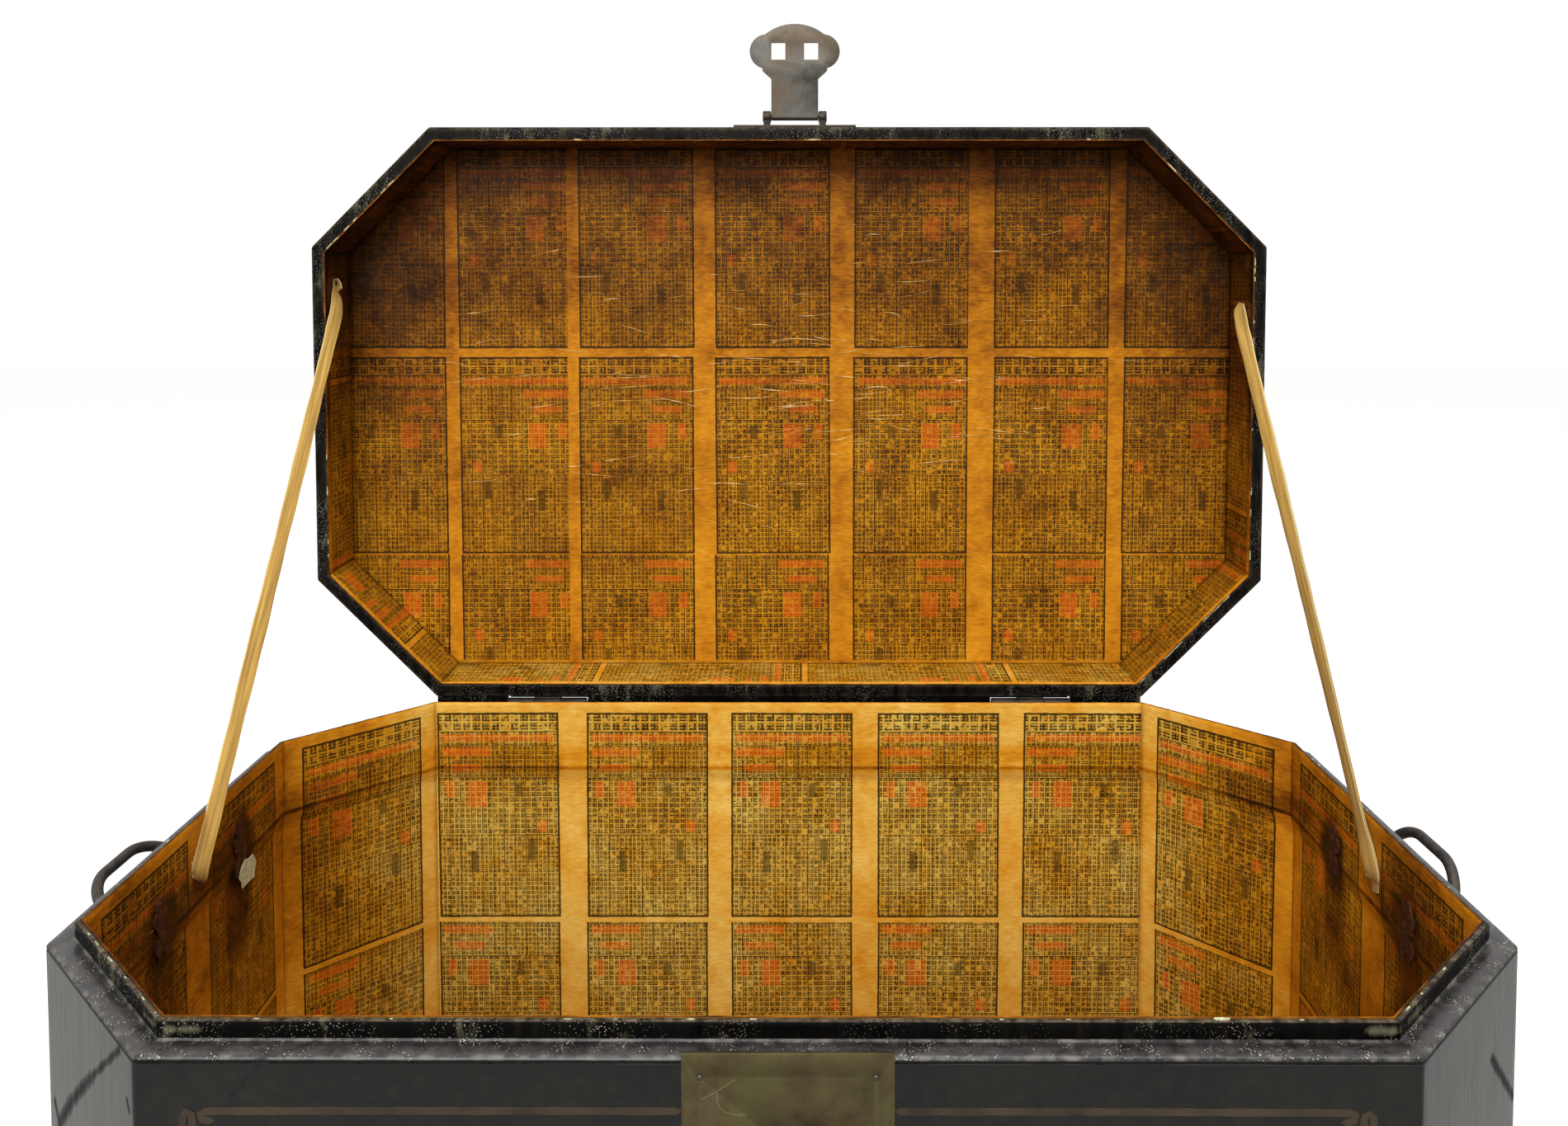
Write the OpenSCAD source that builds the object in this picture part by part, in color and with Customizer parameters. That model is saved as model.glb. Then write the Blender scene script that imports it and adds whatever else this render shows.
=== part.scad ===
// Lacquered travel trunk with an eight-sided plan, a lid held open by two tapes,
// a hasp and lock plate at the front, and an iron bail at each end.
// Origin: centre of the underside. +X to the right, -Y to the front, +Z up.

/* [Plan] */
// Width of the trunk from side to side
trunk_w = 800; // [600:5:1000]
// Depth of the trunk from front to back
trunk_d = 482; // [380:2:600]
// How far each cut corner reaches along either side
corner_leg = 100; // [60:5:120]
// Rounding of the upright outer edges
corner_r = 4; // [1:0.5:8]

/* [Body] */
// Height of the body from the floor to the ledge
body_h = 325; // [220:5:420]
// Thickness of the bottom board
bottom_t = 12; // [8:1:18]
// Thickness of the body's wall boards
wall_t = 13; // [10:1:16]
// Thickness of the lip strips inside the walls
lip_t = 3; // [2:0.5:5]
// How far the lip stands above the ledge
lip_up = 9.5; // [6:0.5:14]
// How far the lip strips reach below the ledge
lip_down = 46; // [40:1:60]

/* [Lid] */
// Outer height of the lid
lid_h = 68; // [50:1:90]
// Thickness of the lid's top board
lid_top_t = 10; // [8:1:14]
// Thickness of the lid's wall boards
lid_wall_t = 11.2; // [9:0.1:11.4]
// How far the lid's faces stand in from the body's faces
lid_inset = 0.3; // [0.1:0.1:0.5]
// Gap between the closed lid's rim and the ledge
lid_gap = 0.2; // [0.1:0.1:0.5]
// Angle of the open lid
lid_open = 90; // [80:1:95]

/* [Lining] */
// Thickness of the varnished paper lining
paper_t = 0.5; // [0.3:0.1:0.8]

/* [Hinges] */
// Distance of each hinge's middle from its end of the trunk
hinge_in = 195; // [170:5:280]
// Length of a hinge along its pin
hinge_w = 66; // [50:2:90]
// How far a hinge leaf reaches from the pin
leaf_h = 46; // [34:1:50]
// Thickness of a hinge leaf
leaf_t = 2; // [1.5:0.1:2.5]
// Radius of a hinge knuckle
knuckle_r = 6; // [5:0.5:7]
// Radius of a hinge pin
hinge_pin_r = 3.4; // [2:0.1:4]

/* [Lock] */
// How far the metalwork sits to the right of the middle
lock_x = 5; // [-10:0.5:10]
// Width of the lock plate
lock_plate_w = 99; // [80:1:130]
// How far the lock plate stands above the ledge
lock_plate_up = 3; // [1:0.5:4]
// How far the lock plate reaches below the ledge
lock_plate_down = 101; // [90:1:130]
// Width of the lid plate
lid_plate_w = 102; // [80:1:130]
// Height of the lid plate
lid_plate_h = 50; // [44:1:58]
// How far the lid plate sits above the lid's rim
lid_plate_up = 4; // [3.5:0.5:6]
// Thickness of both plates
plate_t = 2; // [1:0.1:2.5]
// Thickness of a lock staple
staple_t = 7; // [5:0.5:8]
// Height of a lock staple
staple_h = 11; // [10:0.5:12]
// Radius of the holes that a padlock's bar goes through
staple_hole_r = 3.5; // [2.5:0.1:4]

/* [Hasp] */
// Height of the hasp's rod above the closed lid's rim
rod_up = 14.5; // [12:0.5:18]
// How far the rod stands out from the lid's front
rod_out = 10; // [9:0.5:12]
// Radius of the rod
rod_r = 1.9; // [1.5:0.1:2.2]
// Width of the hasp's stem
stem_w = 39.3; // [30:0.1:44]
// Length of the hasp from the rod to its tip
hasp_len = 76.8; // [70:0.2:80]
// Thickness of the hasp
hasp_t = 1.6; // [1.2:0.1:2.4]
// Width of each slot in the hasp
slot_w = 11.7; // [9:0.1:13]
// Height of each slot in the hasp
slot_h = 13.9; // [13:0.1:16]
// Distance between the two slots' centres
slot_pitch = 27.5; // [24:0.5:30]
// Distance of the slots' centres from the rod
slot_reach = 54.1; // [50:0.1:58]

/* [Bails] */
// Half the distance between a bail's two eyes
bail_half = 54; // [44:1:64]
// How far below the ledge the eyes sit
bail_drop = 42; // [41:1:80]
// Distance from the pivot to the middle of the grip
bail_reach = 36; // [30:0.5:38]
// Radius of the bail's iron rod
bail_r = 3.5; // [2.5:0.1:4]
// Length of the straight part of a bail's leg
bail_leg = 0.5; // [0.5:0.5:12]
// How far the left bail stands above level
left_bail_up = 35; // [-90:1:90]
// How far the right bail stands above level
right_bail_up = 66; // [-90:1:90]

/* [Tapes] */
// Width of the folded tape
tape_w = 10; // [8:0.5:14]
// Thickness of the folded tape
tape_t = 2; // [1.5:0.1:3]
// How far in front of the middle the tapes are fixed to the body
tape_body_front = 7; // [0:1:30]
// How far below the ledge the left tape is fixed
left_tape_drop = 20; // [15:1:35]
// How far below the ledge the right tape is fixed
right_tape_drop = 19; // [15:1:35]
// Where the left tape is fixed along the lid's side, as a share from its hinge end
left_tape_along = 0.88; // [0.5:0.01:0.9]
// Where the right tape is fixed along the lid's side, as a share from its hinge end
right_tape_along = 0.81; // [0.5:0.01:0.9]
// How far inside the lid's rim the tapes are fixed
tape_lid_in = 21; // [12:1:40]

/* [Hidden] */

// Facets of a full circle
round_fn = 48;
// Points along each rounded upright edge
corner_steps = 4;
// A cut runs this far past the solid that it cuts
over = 1;

// Sides of the plan, counted anticlockwise from the front
FRONT = 0;
FRONT_RIGHT = 1;
RIGHT = 2;
BACK_RIGHT = 3;
BACK = 4;
BACK_LEFT = 5;
LEFT = 6;
FRONT_LEFT = 7;

// Main faces of the body and of the closed lid
front_y = -trunk_d / 2;
back_y = trunk_d / 2;
side_x = trunk_w / 2;
rim_z = body_h + lid_gap;
lid_in_t = lid_inset + lid_wall_t;
lid_walls_h = lid_h - lid_top_t;
lid_front_y = front_y + lid_inset;
lid_back_y = back_y - lid_inset;

// The hinge line, with the knuckles just clear of the back
knuckle_gap = 0.3;
hinge_y = back_y + knuckle_r + knuckle_gap;
hinge_z = body_h;
hinge_x = side_x - hinge_in;
pin_play = 0.1;
knuckle_play = 0.3;
leaf_play = 0.8;
// A leaf is cut back this far from the pin beside the other leaf's knuckle
leaf_notch = knuckle_r + leaf_play;

// Nails: a shank in a close hole under a domed head
nail_r = 1.2;
nail_hole_r = 1.25;
nail_len = 9;
nail_head_r = 3.6;
nail_head_h = 1.6;
leaf_nail_in = 9;
leaf_nail_low = 14;
plate_nail_in = 8.6;
plate_nail_down = 8.4;
lock_nail_up = 24;
lid_plate_nail_in = 14;

// Hasp knuckle and the eyes on each side of it
hasp_knuckle_r = 3.2;
eye_w = 6.9;
eye_r = 4.8;
// The eyes are rounded off by a ball of this radius
eye_ball_r = 5.5;
eye_gap = 0.25;
// Foot of an eye: its height, and how far it stands in from the eye's ends
eye_foot_h = 7;
eye_foot_in = 0.6;
eye_x = stem_w / 2 + eye_gap + eye_w / 2;
rod_play = 0.1;
rod_y = lid_front_y - rod_out;
rod_z = rim_z + rod_up;
// Lobes of the hasp's head
crown_r = 40;
crown_half = 25;
side_lobe_r = 14.2;
side_lobe_x = 23.5;
side_lobe_up = 54;
// Small lobes between them and the stem, each with a sloping edge
small_lobe_r = 2.4;
small_lobe_x = 24.8;
small_lobe_up = 39;
small_lobe_foot_x = 18.4;
small_lobe_foot_up = 33.2;

// Staples stand out through the slots of the hanging hasp
staple_z = rod_z - slot_reach;
// Room between the hanging hasp and a padlock's bar
bar_gap = 2;
hasp_front_out = rod_out - hasp_knuckle_r + hasp_t;
staple_hole_out = hasp_front_out + bar_gap + staple_hole_r;
staple_out = staple_hole_out + staple_h / 2;

// Bails and their eyes
eye_ring_r = 7;
eye_ring_w = 4;
eye_play = 0.1;
rose_r = 11;
rose_t = 1.6;
bail_out = rose_t + eye_ring_r;
shank_w = 4;
shank_h = 5;
shank_play = 0.1;
clench_len = 11;
clench_t = 1.5;
// The bent-over ends of a shank reach further up than down by twice this
clench_lift = 5;
bail_leg_in = 9;
bail_foot_r = 4;
bail_bend_r = bail_reach - bail_foot_r - bail_leg;
bail_knob_r = 4.8;
bail_knob_out = 7;
bail_z = body_h - bail_drop;

// Where each tape leaves its end pads
inner_t = wall_t + lip_t + paper_t;
lid_paper_t = lid_in_t + paper_t;
pad_w = 14;
pad_h = 16;
pad_t = 3;
pad_tuck = 2;
// How far the strip's edge runs into its end pads
tape_lap = 1;
tack_r = 1;
tack_hole_r = 1.05;
tack_head_r = 3.2;
tack_head_h = 1.2;
tack_len = 8;
tack_low = 3.5;
tape_off = pad_t + tape_w / 2 - tape_lap;

// Corner points of the plan drawn in by t, anticlockwise from the front left
function plan(t) =
    let (x = side_x - t, y = trunk_d / 2 - t, c = corner_leg - t * (2 - sqrt(2)))
    [[c - x, -y], [x - c, -y], [x, c - y], [x, y - c],
     [x - c, y], [c - x, y], [-x, y - c], [-x, c - y]];

// The same outline with its corners rounded to radius r
function round_plan(t, r) =
    let (centres = plan(t + r))
    [for (i = [0:7]) for (k = [0:corner_steps])
        let (a = 45 * i - 135 + 45 * k / corner_steps)
        centres[i] + r * [cos(a), sin(a)]];

// A board along one side of the plan, between depths t0 and t1, with mitred ends
module side_board(side, t0, t1, z0, h) {
    outer = plan(t0);
    inner = plan(t1);
    far = (side + 1) % 8;
    translate([0, 0, z0])
        linear_extrude(h)
            intersection() {
                polygon(t0 < wall_t ? round_plan(t0, corner_r) : plan(t0));
                polygon([inner[side], inner[far],
                    2 * outer[far] - inner[far], 2 * outer[side] - inner[side]]);
            }
}

// A thin skin between depths t0 and t1 all round the plan
module ring(t0, t1, z0, h) {
    translate([0, 0, z0])
        linear_extrude(h)
            difference() {
                polygon(plan(t0));
                polygon(plan(t1));
            }
}

// Puts what is drawn at the closed lid's place into the open lid's place
module open_lid() {
    translate([0, hinge_y, hinge_z])
        rotate([-lid_open, 0, 0])
            translate([0, -hinge_y, -hinge_z])
                children();
}

// A nail along -Z, its head's underside at the origin
module nail(shank_r, length, head_r, head_h) {
    ball_r = (head_r * head_r + head_h * head_h) / (2 * head_h);
    intersection() {
        translate([0, 0, head_h - ball_r])
            sphere(r = ball_r, $fn = round_fn);
        cylinder(r = head_r, h = head_h, $fn = round_fn);
    }
    translate([0, 0, -length])
        cylinder(r = shank_r, h = length, $fn = round_fn);
}

// Nails or their holes at a list of [x, z] places, driven in along +Y from face_y
module front_nails(places, face_y) {
    for (p = places)
        translate([p[0], face_y, p[1]])
            rotate([90, 0, 0])
                nail(nail_r, nail_len, nail_head_r, nail_head_h);
}
module front_holes(places, face_y, depth) {
    for (p = places)
        translate([p[0], face_y + depth, p[1]])
            rotate([90, 0, 0])
                cylinder(r = nail_hole_r, h = depth + over, $fn = round_fn);
}

// The same from the back, driven in along -Y
module back_nails(places, face_y) {
    mirror([0, 1, 0])
        front_nails(places, -face_y);
}
module back_holes(places, face_y, depth) {
    mirror([0, 1, 0])
        front_holes(places, -face_y, depth);
}

// Nail places
lock_nails = [for (s = [-1, 1])
    for (z = [body_h - plate_nail_down, body_h - lock_plate_down + lock_nail_up])
        [lock_x + s * (lock_plate_w / 2 - plate_nail_in), z]];
lid_plate_nail_places = [for (s = [-1, 1])
    for (z = [rim_z + lid_plate_up + plate_nail_down,
              rim_z + lid_plate_up + lid_plate_h - lid_plate_nail_in])
        [lock_x + s * (lid_plate_w / 2 - plate_nail_in), z]];
function leaf_nails(sign) = [for (h = [-1, 1]) for (s = [-1, 1])
    for (z = [leaf_nail_low, leaf_h - leaf_nail_in])
        [h * hinge_x + s * (hinge_w / 2 - leaf_nail_in), hinge_z + sign * z]];

// Holes through a side wall for the two shanks that hold a bail's eyes
module shank_holes(s) {
    for (y = [-bail_half, bail_half])
        translate([s * (side_x - wall_t), y, bail_z])
            cube([2 * (wall_t + 2 * over), shank_w + 2 * shank_play, shank_h + 2 * shank_play],
                center = true);
}

// Middles of a tape's end pads: on the body's inner side, and on the closed lid's inner side.
// In these, s is 1 for the right side and -1 for the left side.
tape_body_y = -tape_body_front;
tape_lid_z = rim_z + tape_lid_in;
function tape_body_z(s) = body_h - (s > 0 ? right_tape_drop : left_tape_drop);
function tape_lid_y(s) = (trunk_d - 2 * corner_leg)
    * (0.5 - (s > 0 ? right_tape_along : left_tape_along));

// Places of the tacks, each at the end of its pad that the tape doesn't leave from
function body_tack(s) = [s * side_x, tape_body_y, tape_body_z(s) - tack_low];
function lid_tack(s) = [s * side_x, tape_lid_y(s) - tack_low, tape_lid_z];

// A tack's hole through what lies on the inner face at depth t
module tack_hole(place, s, t) {
    translate(place - [s * t, 0, 0])
        rotate([0, 90, 0])
            cylinder(r = tack_hole_r, h = 2 * tack_len, center = true, $fn = round_fn);
}

module bottom_board() {
    color("#2a211b")
        linear_extrude(bottom_t)
            polygon(round_plan(0, corner_r));
}

module body_wall(side) {
    color("#26271f")
        side_board(side, 0, wall_t, bottom_t, body_h - bottom_t);
}

module front_wall() {
    color("#26271f")
        difference() {
            side_board(FRONT, 0, wall_t, bottom_t, body_h - bottom_t);
            front_holes(lock_nails, front_y, nail_len - plate_t + over);
        }
}

module back_wall() {
    color("#26271f")
        difference() {
            side_board(BACK, 0, wall_t, bottom_t, body_h - bottom_t);
            back_holes(leaf_nails(-1), back_y, nail_len - leaf_t + over);
        }
}

// s is 1 for the right wall and -1 for the left wall
module end_wall(s) {
    color("#26271f")
        difference() {
            side_board(s > 0 ? RIGHT : LEFT, 0, wall_t, bottom_t, body_h - bottom_t);
            shank_holes(s);
            tack_hole(body_tack(s), s, wall_t);
        }
}

module lip(side) {
    color("#15130f")
        side_board(side, wall_t, wall_t + lip_t, body_h - lip_down, lip_up + lip_down);
}

module end_lip(s) {
    color("#15130f")
        difference() {
            side_board(s > 0 ? RIGHT : LEFT, wall_t, wall_t + lip_t,
                body_h - lip_down, lip_up + lip_down);
            shank_holes(s);
            tack_hole(body_tack(s), s, wall_t);
        }
}

module body_wall_lining() {
    floor_z = bottom_t + paper_t;
    step_z = body_h - lip_down - paper_t;
    color("#b5832f")
        difference() {
            union() {
                ring(wall_t, wall_t + paper_t, floor_z, step_z + paper_t - floor_z);
                ring(wall_t, inner_t, step_z, paper_t);
                ring(wall_t + lip_t, inner_t, step_z, body_h + lip_up - step_z);
            }
            for (s = [-1, 1]) {
                shank_holes(s);
                tack_hole(body_tack(s), s, wall_t);
            }
        }
}

module body_floor_lining() {
    color("#b5832f")
        translate([0, 0, bottom_t])
            linear_extrude(paper_t)
                polygon(plan(wall_t));
}

module lid_top_board() {
    color("#26271f")
        open_lid()
            translate([0, 0, rim_z + lid_walls_h])
                linear_extrude(lid_top_t)
                    polygon(round_plan(lid_inset, corner_r));
}

module lid_wall(side) {
    color("#26271f")
        open_lid()
            side_board(side, lid_inset, lid_in_t, rim_z, lid_walls_h);
}

module lid_front_wall() {
    color("#26271f")
        open_lid()
            difference() {
                side_board(FRONT, lid_inset, lid_in_t, rim_z, lid_walls_h);
                front_holes(lid_plate_nail_places, lid_front_y, nail_len - plate_t + over);
            }
}

module lid_back_wall() {
    color("#26271f")
        open_lid()
            difference() {
                side_board(BACK, lid_inset, lid_in_t, rim_z, lid_walls_h);
                back_holes(leaf_nails(1), lid_back_y, nail_len - leaf_t + over);
            }
}

module lid_end_wall(s) {
    color("#26271f")
        open_lid()
            difference() {
                side_board(s > 0 ? RIGHT : LEFT, lid_inset, lid_in_t, rim_z, lid_walls_h);
                tack_hole(lid_tack(s), s, lid_in_t);
            }
}

module lid_wall_lining() {
    color("#a8762a")
        open_lid()
            difference() {
                ring(lid_in_t, lid_paper_t, rim_z, lid_walls_h - paper_t);
                for (s = [-1, 1])
                    tack_hole(lid_tack(s), s, lid_in_t);
            }
}

module lid_top_lining() {
    color("#a8762a")
        open_lid()
            translate([0, 0, rim_z + lid_walls_h - paper_t])
                linear_extrude(paper_t)
                    polygon(plan(lid_in_t));
}

// A plate that ends in a pair of hollow shoulders and a shallow point, drawn hanging down
module bracket_outline(w, h) {
    shoulder = w * 0.16;
    difference() {
        translate([-w / 2, -h])
            square([w, h]);
        for (s = [-1, 1])
            translate([s * w / 2, -h])
                circle(r = shoulder, $fn = round_fn);
    }
}

module lock_plate() {
    color("#5a5546")
        difference() {
            translate([lock_x, front_y, body_h + lock_plate_up])
                rotate([90, 0, 0])
                    linear_extrude(plate_t)
                        bracket_outline(lock_plate_w, lock_plate_up + lock_plate_down);
            front_holes(lock_nails, front_y - plate_t, plate_t + over);
        }
}

module lock_staples() {
    color("#6b6455")
        for (s = [-1, 1])
            translate([lock_x + s * slot_pitch / 2 - staple_t / 2, front_y, staple_z])
                difference() {
                    union() {
                        translate([0, -staple_hole_out, 0])
                            rotate([0, 90, 0])
                                cylinder(d = staple_h, h = staple_t, $fn = round_fn);
                        translate([0, -staple_hole_out, -staple_h / 2])
                            cube([staple_t, staple_hole_out - plate_t, staple_h]);
                    }
                    translate([-over, -staple_hole_out, 0])
                        rotate([0, 90, 0])
                            cylinder(r = staple_hole_r, h = staple_t + 2 * over, $fn = round_fn);
                }
}

module lock_plate_nails() {
    color("#6b6455")
        front_nails(lock_nails, front_y - plate_t);
}

module lid_plate() {
    color("#6e685a")
        open_lid()
            difference() {
                translate([lock_x, lid_front_y, rim_z + lid_plate_up])
                    rotate([90, 0, 0])
                        linear_extrude(plate_t)
                            mirror([0, 1])
                                bracket_outline(lid_plate_w, lid_plate_h);
                front_holes(lid_plate_nail_places, lid_front_y - plate_t, plate_t + over);
            }
}

module lid_plate_nails() {
    color("#6b6455")
        open_lid()
            front_nails(lid_plate_nail_places, lid_front_y - plate_t);
}

module hasp_eyes() {
    color("#7a736a")
        open_lid()
            for (s = [-1, 1])
                translate([lock_x + s * eye_x - eye_w / 2, rod_y, rod_z])
                    difference() {
                        union() {
                            intersection() {
                                rotate([0, 90, 0])
                                    cylinder(r = eye_r, h = eye_w, $fn = round_fn);
                                translate([eye_w / 2, 0, 0])
                                    sphere(r = eye_ball_r, $fn = round_fn);
                            }
                            translate([eye_foot_in, 0, -eye_foot_h / 2])
                                cube([eye_w - 2 * eye_foot_in, rod_out - plate_t, eye_foot_h]);
                        }
                        translate([-over, 0, 0])
                            rotate([0, 90, 0])
                                cylinder(r = rod_r + rod_play, h = eye_w + 2 * over, $fn = round_fn);
                    }
}

module hasp_rod() {
    color("#7a736a")
        open_lid()
            translate([lock_x - eye_x - eye_w / 2, rod_y, rod_z])
                rotate([0, 90, 0])
                    cylinder(r = rod_r, h = 2 * eye_x + eye_w, $fn = round_fn);
}

// The hasp's face, hanging from the rod at the origin
module hasp_outline() {
    difference() {
        union() {
            translate([-stem_w / 2, -small_lobe_up])
                square([stem_w, small_lobe_up]);
            intersection() {
                translate([0, crown_r - hasp_len])
                    circle(r = crown_r, $fn = 2 * round_fn);
                translate([-crown_half, -hasp_len])
                    square([2 * crown_half, hasp_len - small_lobe_up]);
            }
            for (s = [-1, 1]) {
                translate([s * side_lobe_x, -side_lobe_up])
                    circle(r = side_lobe_r, $fn = round_fn);
                hull() {
                    translate([s * small_lobe_x, -small_lobe_up])
                        circle(r = small_lobe_r, $fn = round_fn);
                    translate([s * small_lobe_foot_x, -small_lobe_foot_up])
                        circle(r = small_lobe_r, $fn = round_fn);
                    translate([0, -small_lobe_up])
                        circle(r = small_lobe_r, $fn = round_fn);
                }
            }
        }
        for (s = [-1, 1])
            translate([s * slot_pitch / 2 - slot_w / 2, -slot_reach - slot_h / 2])
                square([slot_w, slot_h]);
    }
}

module hasp() {
    color("#7a736a")
        open_lid()
            translate([lock_x, rod_y, rod_z])
                rotate([-90, 0, 0])
                    difference() {
                        union() {
                            translate([0, hasp_knuckle_r, 0])
                                rotate([90, 0, 0])
                                    linear_extrude(hasp_t)
                                        hasp_outline();
                            translate([-stem_w / 2, 0, 0])
                                rotate([0, 90, 0])
                                    cylinder(r = hasp_knuckle_r, h = stem_w, $fn = round_fn);
                        }
                        translate([-stem_w / 2 - over, 0, 0])
                            rotate([0, 90, 0])
                                cylinder(r = rod_r + rod_play, h = stem_w + 2 * over, $fn = round_fn);
                    }
}

// A hinge leaf above the pin line, with its knuckles along the spans [from, to]
module leaf(base_y, spans) {
    difference() {
        union() {
            translate([-hinge_w / 2, base_y - hinge_y, 0])
                difference() {
                    cube([hinge_w, back_y + leaf_t - base_y, leaf_h]);
                    translate([-over, -over, -over])
                        cube([hinge_w + 2 * over, leaf_t + 2 * over, leaf_notch + over]);
                }
            for (s = spans) {
                translate([s[0], 0, 0])
                    rotate([0, 90, 0])
                        cylinder(r = knuckle_r, h = s[1] - s[0], $fn = round_fn);
                translate([s[0], base_y - hinge_y, 0])
                    cube([s[1] - s[0], back_y + leaf_t - base_y, leaf_notch]);
            }
        }
        translate([-hinge_w / 2 - over, 0, 0])
            rotate([0, 90, 0])
                cylinder(r = hinge_pin_r + pin_play, h = hinge_w + 2 * over, $fn = round_fn);
    }
}

// Knuckle spans: two on the body's leaf with the lid's one between them
knuckle_half = hinge_w / 6;
body_spans = [[-hinge_w / 2, -knuckle_half - knuckle_play], [knuckle_half + knuckle_play, hinge_w / 2]];
lid_spans = [[-knuckle_half, knuckle_half]];

module hinge_body_leaf(s) {
    color("#5c564b")
        difference() {
            translate([s * hinge_x, hinge_y, hinge_z])
                mirror([0, 0, 1])
                    leaf(back_y, body_spans);
            back_holes(leaf_nails(-1), back_y + leaf_t, leaf_t + over);
        }
}

module hinge_lid_leaf(s) {
    color("#5c564b")
        open_lid()
            difference() {
                translate([s * hinge_x, hinge_y, hinge_z])
                    leaf(lid_back_y, lid_spans);
                back_holes(leaf_nails(1), back_y + leaf_t, leaf_t + lid_inset + over);
            }
}

module hinge_pin(s) {
    color("#4a463e")
        translate([s * hinge_x - hinge_w / 2, hinge_y, hinge_z])
            rotate([0, 90, 0])
                cylinder(r = hinge_pin_r, h = hinge_w, $fn = round_fn);
}

module hinge_body_nails() {
    color("#5c564b")
        back_nails(leaf_nails(-1), back_y + leaf_t);
}

module hinge_lid_nails() {
    color("#5c564b")
        open_lid()
            back_nails(leaf_nails(1), back_y + leaf_t);
}

// A quarter bend of the bail's rod round the origin, from +X to +Y
module rod_bend(bend_r) {
    rotate_extrude(angle = 90, $fn = round_fn)
        translate([bend_r, 0])
            circle(r = bail_r, $fn = round_fn);
}

// Half of a bail in the XY plane: its foot lies along +X and its grip along +X at bail_reach
module half_bail() {
    leg_x = bail_half - bail_leg_in;
    knob_x = bail_half + bail_knob_out;
    translate([leg_x + bail_foot_r, 0, 0])
        rotate([0, 90, 0])
            cylinder(r = bail_r, h = knob_x - leg_x - bail_foot_r, $fn = round_fn);
    translate([knob_x, 0, 0])
        sphere(r = bail_knob_r, $fn = round_fn);
    translate([leg_x + bail_foot_r, bail_foot_r, 0])
        rotate([0, 0, 180])
            rod_bend(bail_foot_r);
    translate([leg_x, bail_foot_r, 0])
        rotate([-90, 0, 0])
            cylinder(r = bail_r, h = bail_leg, $fn = round_fn);
    translate([leg_x - bail_bend_r, bail_reach - bail_bend_r, 0])
        rod_bend(bail_bend_r);
    translate([0, bail_reach, 0])
        rotate([0, 90, 0])
            cylinder(r = bail_r, h = leg_x - bail_bend_r, $fn = round_fn);
}

// s is 1 for the right bail and -1 for the left bail
module bail(s) {
    color("#4b4740")
        translate([s * (side_x + bail_out), 0, bail_z])
            rotate([0, s > 0 ? -right_bail_up : left_bail_up, 0])
                rotate([0, 0, -s * 90])
                    for (m = [0, 1])
                        mirror([m, 0, 0])
                            half_bail();
}

module bail_eyes(s) {
    inside_x = side_x - inner_t;
    color("#4b4740")
        for (y = [-bail_half, bail_half])
            translate([0, y, bail_z]) {
                difference() {
                    union() {
                        translate([s * (side_x + bail_out), 0, 0])
                            rotate([90, 0, 0])
                                cylinder(r = eye_ring_r, h = eye_ring_w, center = true, $fn = round_fn);
                        translate([s * (inside_x + side_x + bail_out) / 2, 0, 0])
                            cube([side_x + bail_out - inside_x, shank_w, shank_h], center = true);
                    }
                    translate([s * (side_x + bail_out), 0, 0])
                        rotate([90, 0, 0])
                            cylinder(r = bail_r + eye_play, h = eye_ring_w + 2 * over,
                                center = true, $fn = round_fn);
                }
                translate([s * (inside_x - clench_t / 2), 0, clench_lift])
                    cube([clench_t, shank_w, shank_h + 2 * clench_len], center = true);
            }
}

module bail_roses(s) {
    color("#55504a")
        for (y = [-bail_half, bail_half])
            translate([s * (side_x + rose_t / 2), y, bail_z])
                difference() {
                    rotate([0, 90, 0])
                        cylinder(r = rose_r, h = rose_t, center = true, $fn = round_fn);
                    cube([rose_t + 2 * over, shank_w + 2 * shank_play, shank_h + 2 * shank_play],
                        center = true);
                }
}

// A place on the closed lid's side carried to the open lid
function opened(p) =
    let (y = p[1] - hinge_y, z = p[2] - hinge_z)
    [p[0], hinge_y + y * cos(lid_open) + z * sin(lid_open),
        hinge_z - y * sin(lid_open) + z * cos(lid_open)];

// Ends of the right-hand strip, for the tape on side s
function strip_low(s) = [side_x - inner_t - tape_off, tape_body_y,
    tape_body_z(s) + pad_h / 2 - pad_tuck];
function strip_high(s) = opened([side_x - lid_paper_t - tape_off,
    tape_lid_y(s) + pad_h / 2 - pad_tuck, tape_lid_z]);

module tape(s) {
    run = strip_high(s) - strip_low(s);
    color("#d9bb78")
        difference() {
            mirror([s > 0 ? 0 : 1, 0, 0]) {
                translate(strip_low(s))
                    rotate([0, acos(run[2] / norm(run)), atan2(run[1], run[0])])
                        translate([-tape_t / 2, -tape_w / 2, 0])
                            cube([tape_t, tape_w, norm(run)]);
                translate([side_x - inner_t - pad_t, tape_body_y - pad_w / 2,
                    tape_body_z(s) - pad_h / 2])
                    cube([pad_t, pad_w, pad_h]);
                open_lid()
                    translate([side_x - lid_paper_t - pad_t, tape_lid_y(s) - pad_h / 2,
                        tape_lid_z - pad_w / 2])
                        cube([pad_t, pad_h, pad_w]);
            }
            tack_hole(body_tack(s), s, wall_t);
            open_lid()
                tack_hole(lid_tack(s), s, lid_in_t);
        }
}

// A tack driven outwards through the inner face at depth t
module side_tack(place, s, t) {
    translate(place - [s * t, 0, 0])
        rotate([0, -s * 90, 0])
            nail(tack_r, tack_len, tack_head_r, tack_head_h);
}

module tape_body_tacks() {
    color("#3a332a")
        for (s = [-1, 1])
            side_tack(body_tack(s), s, inner_t + pad_t);
}

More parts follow.
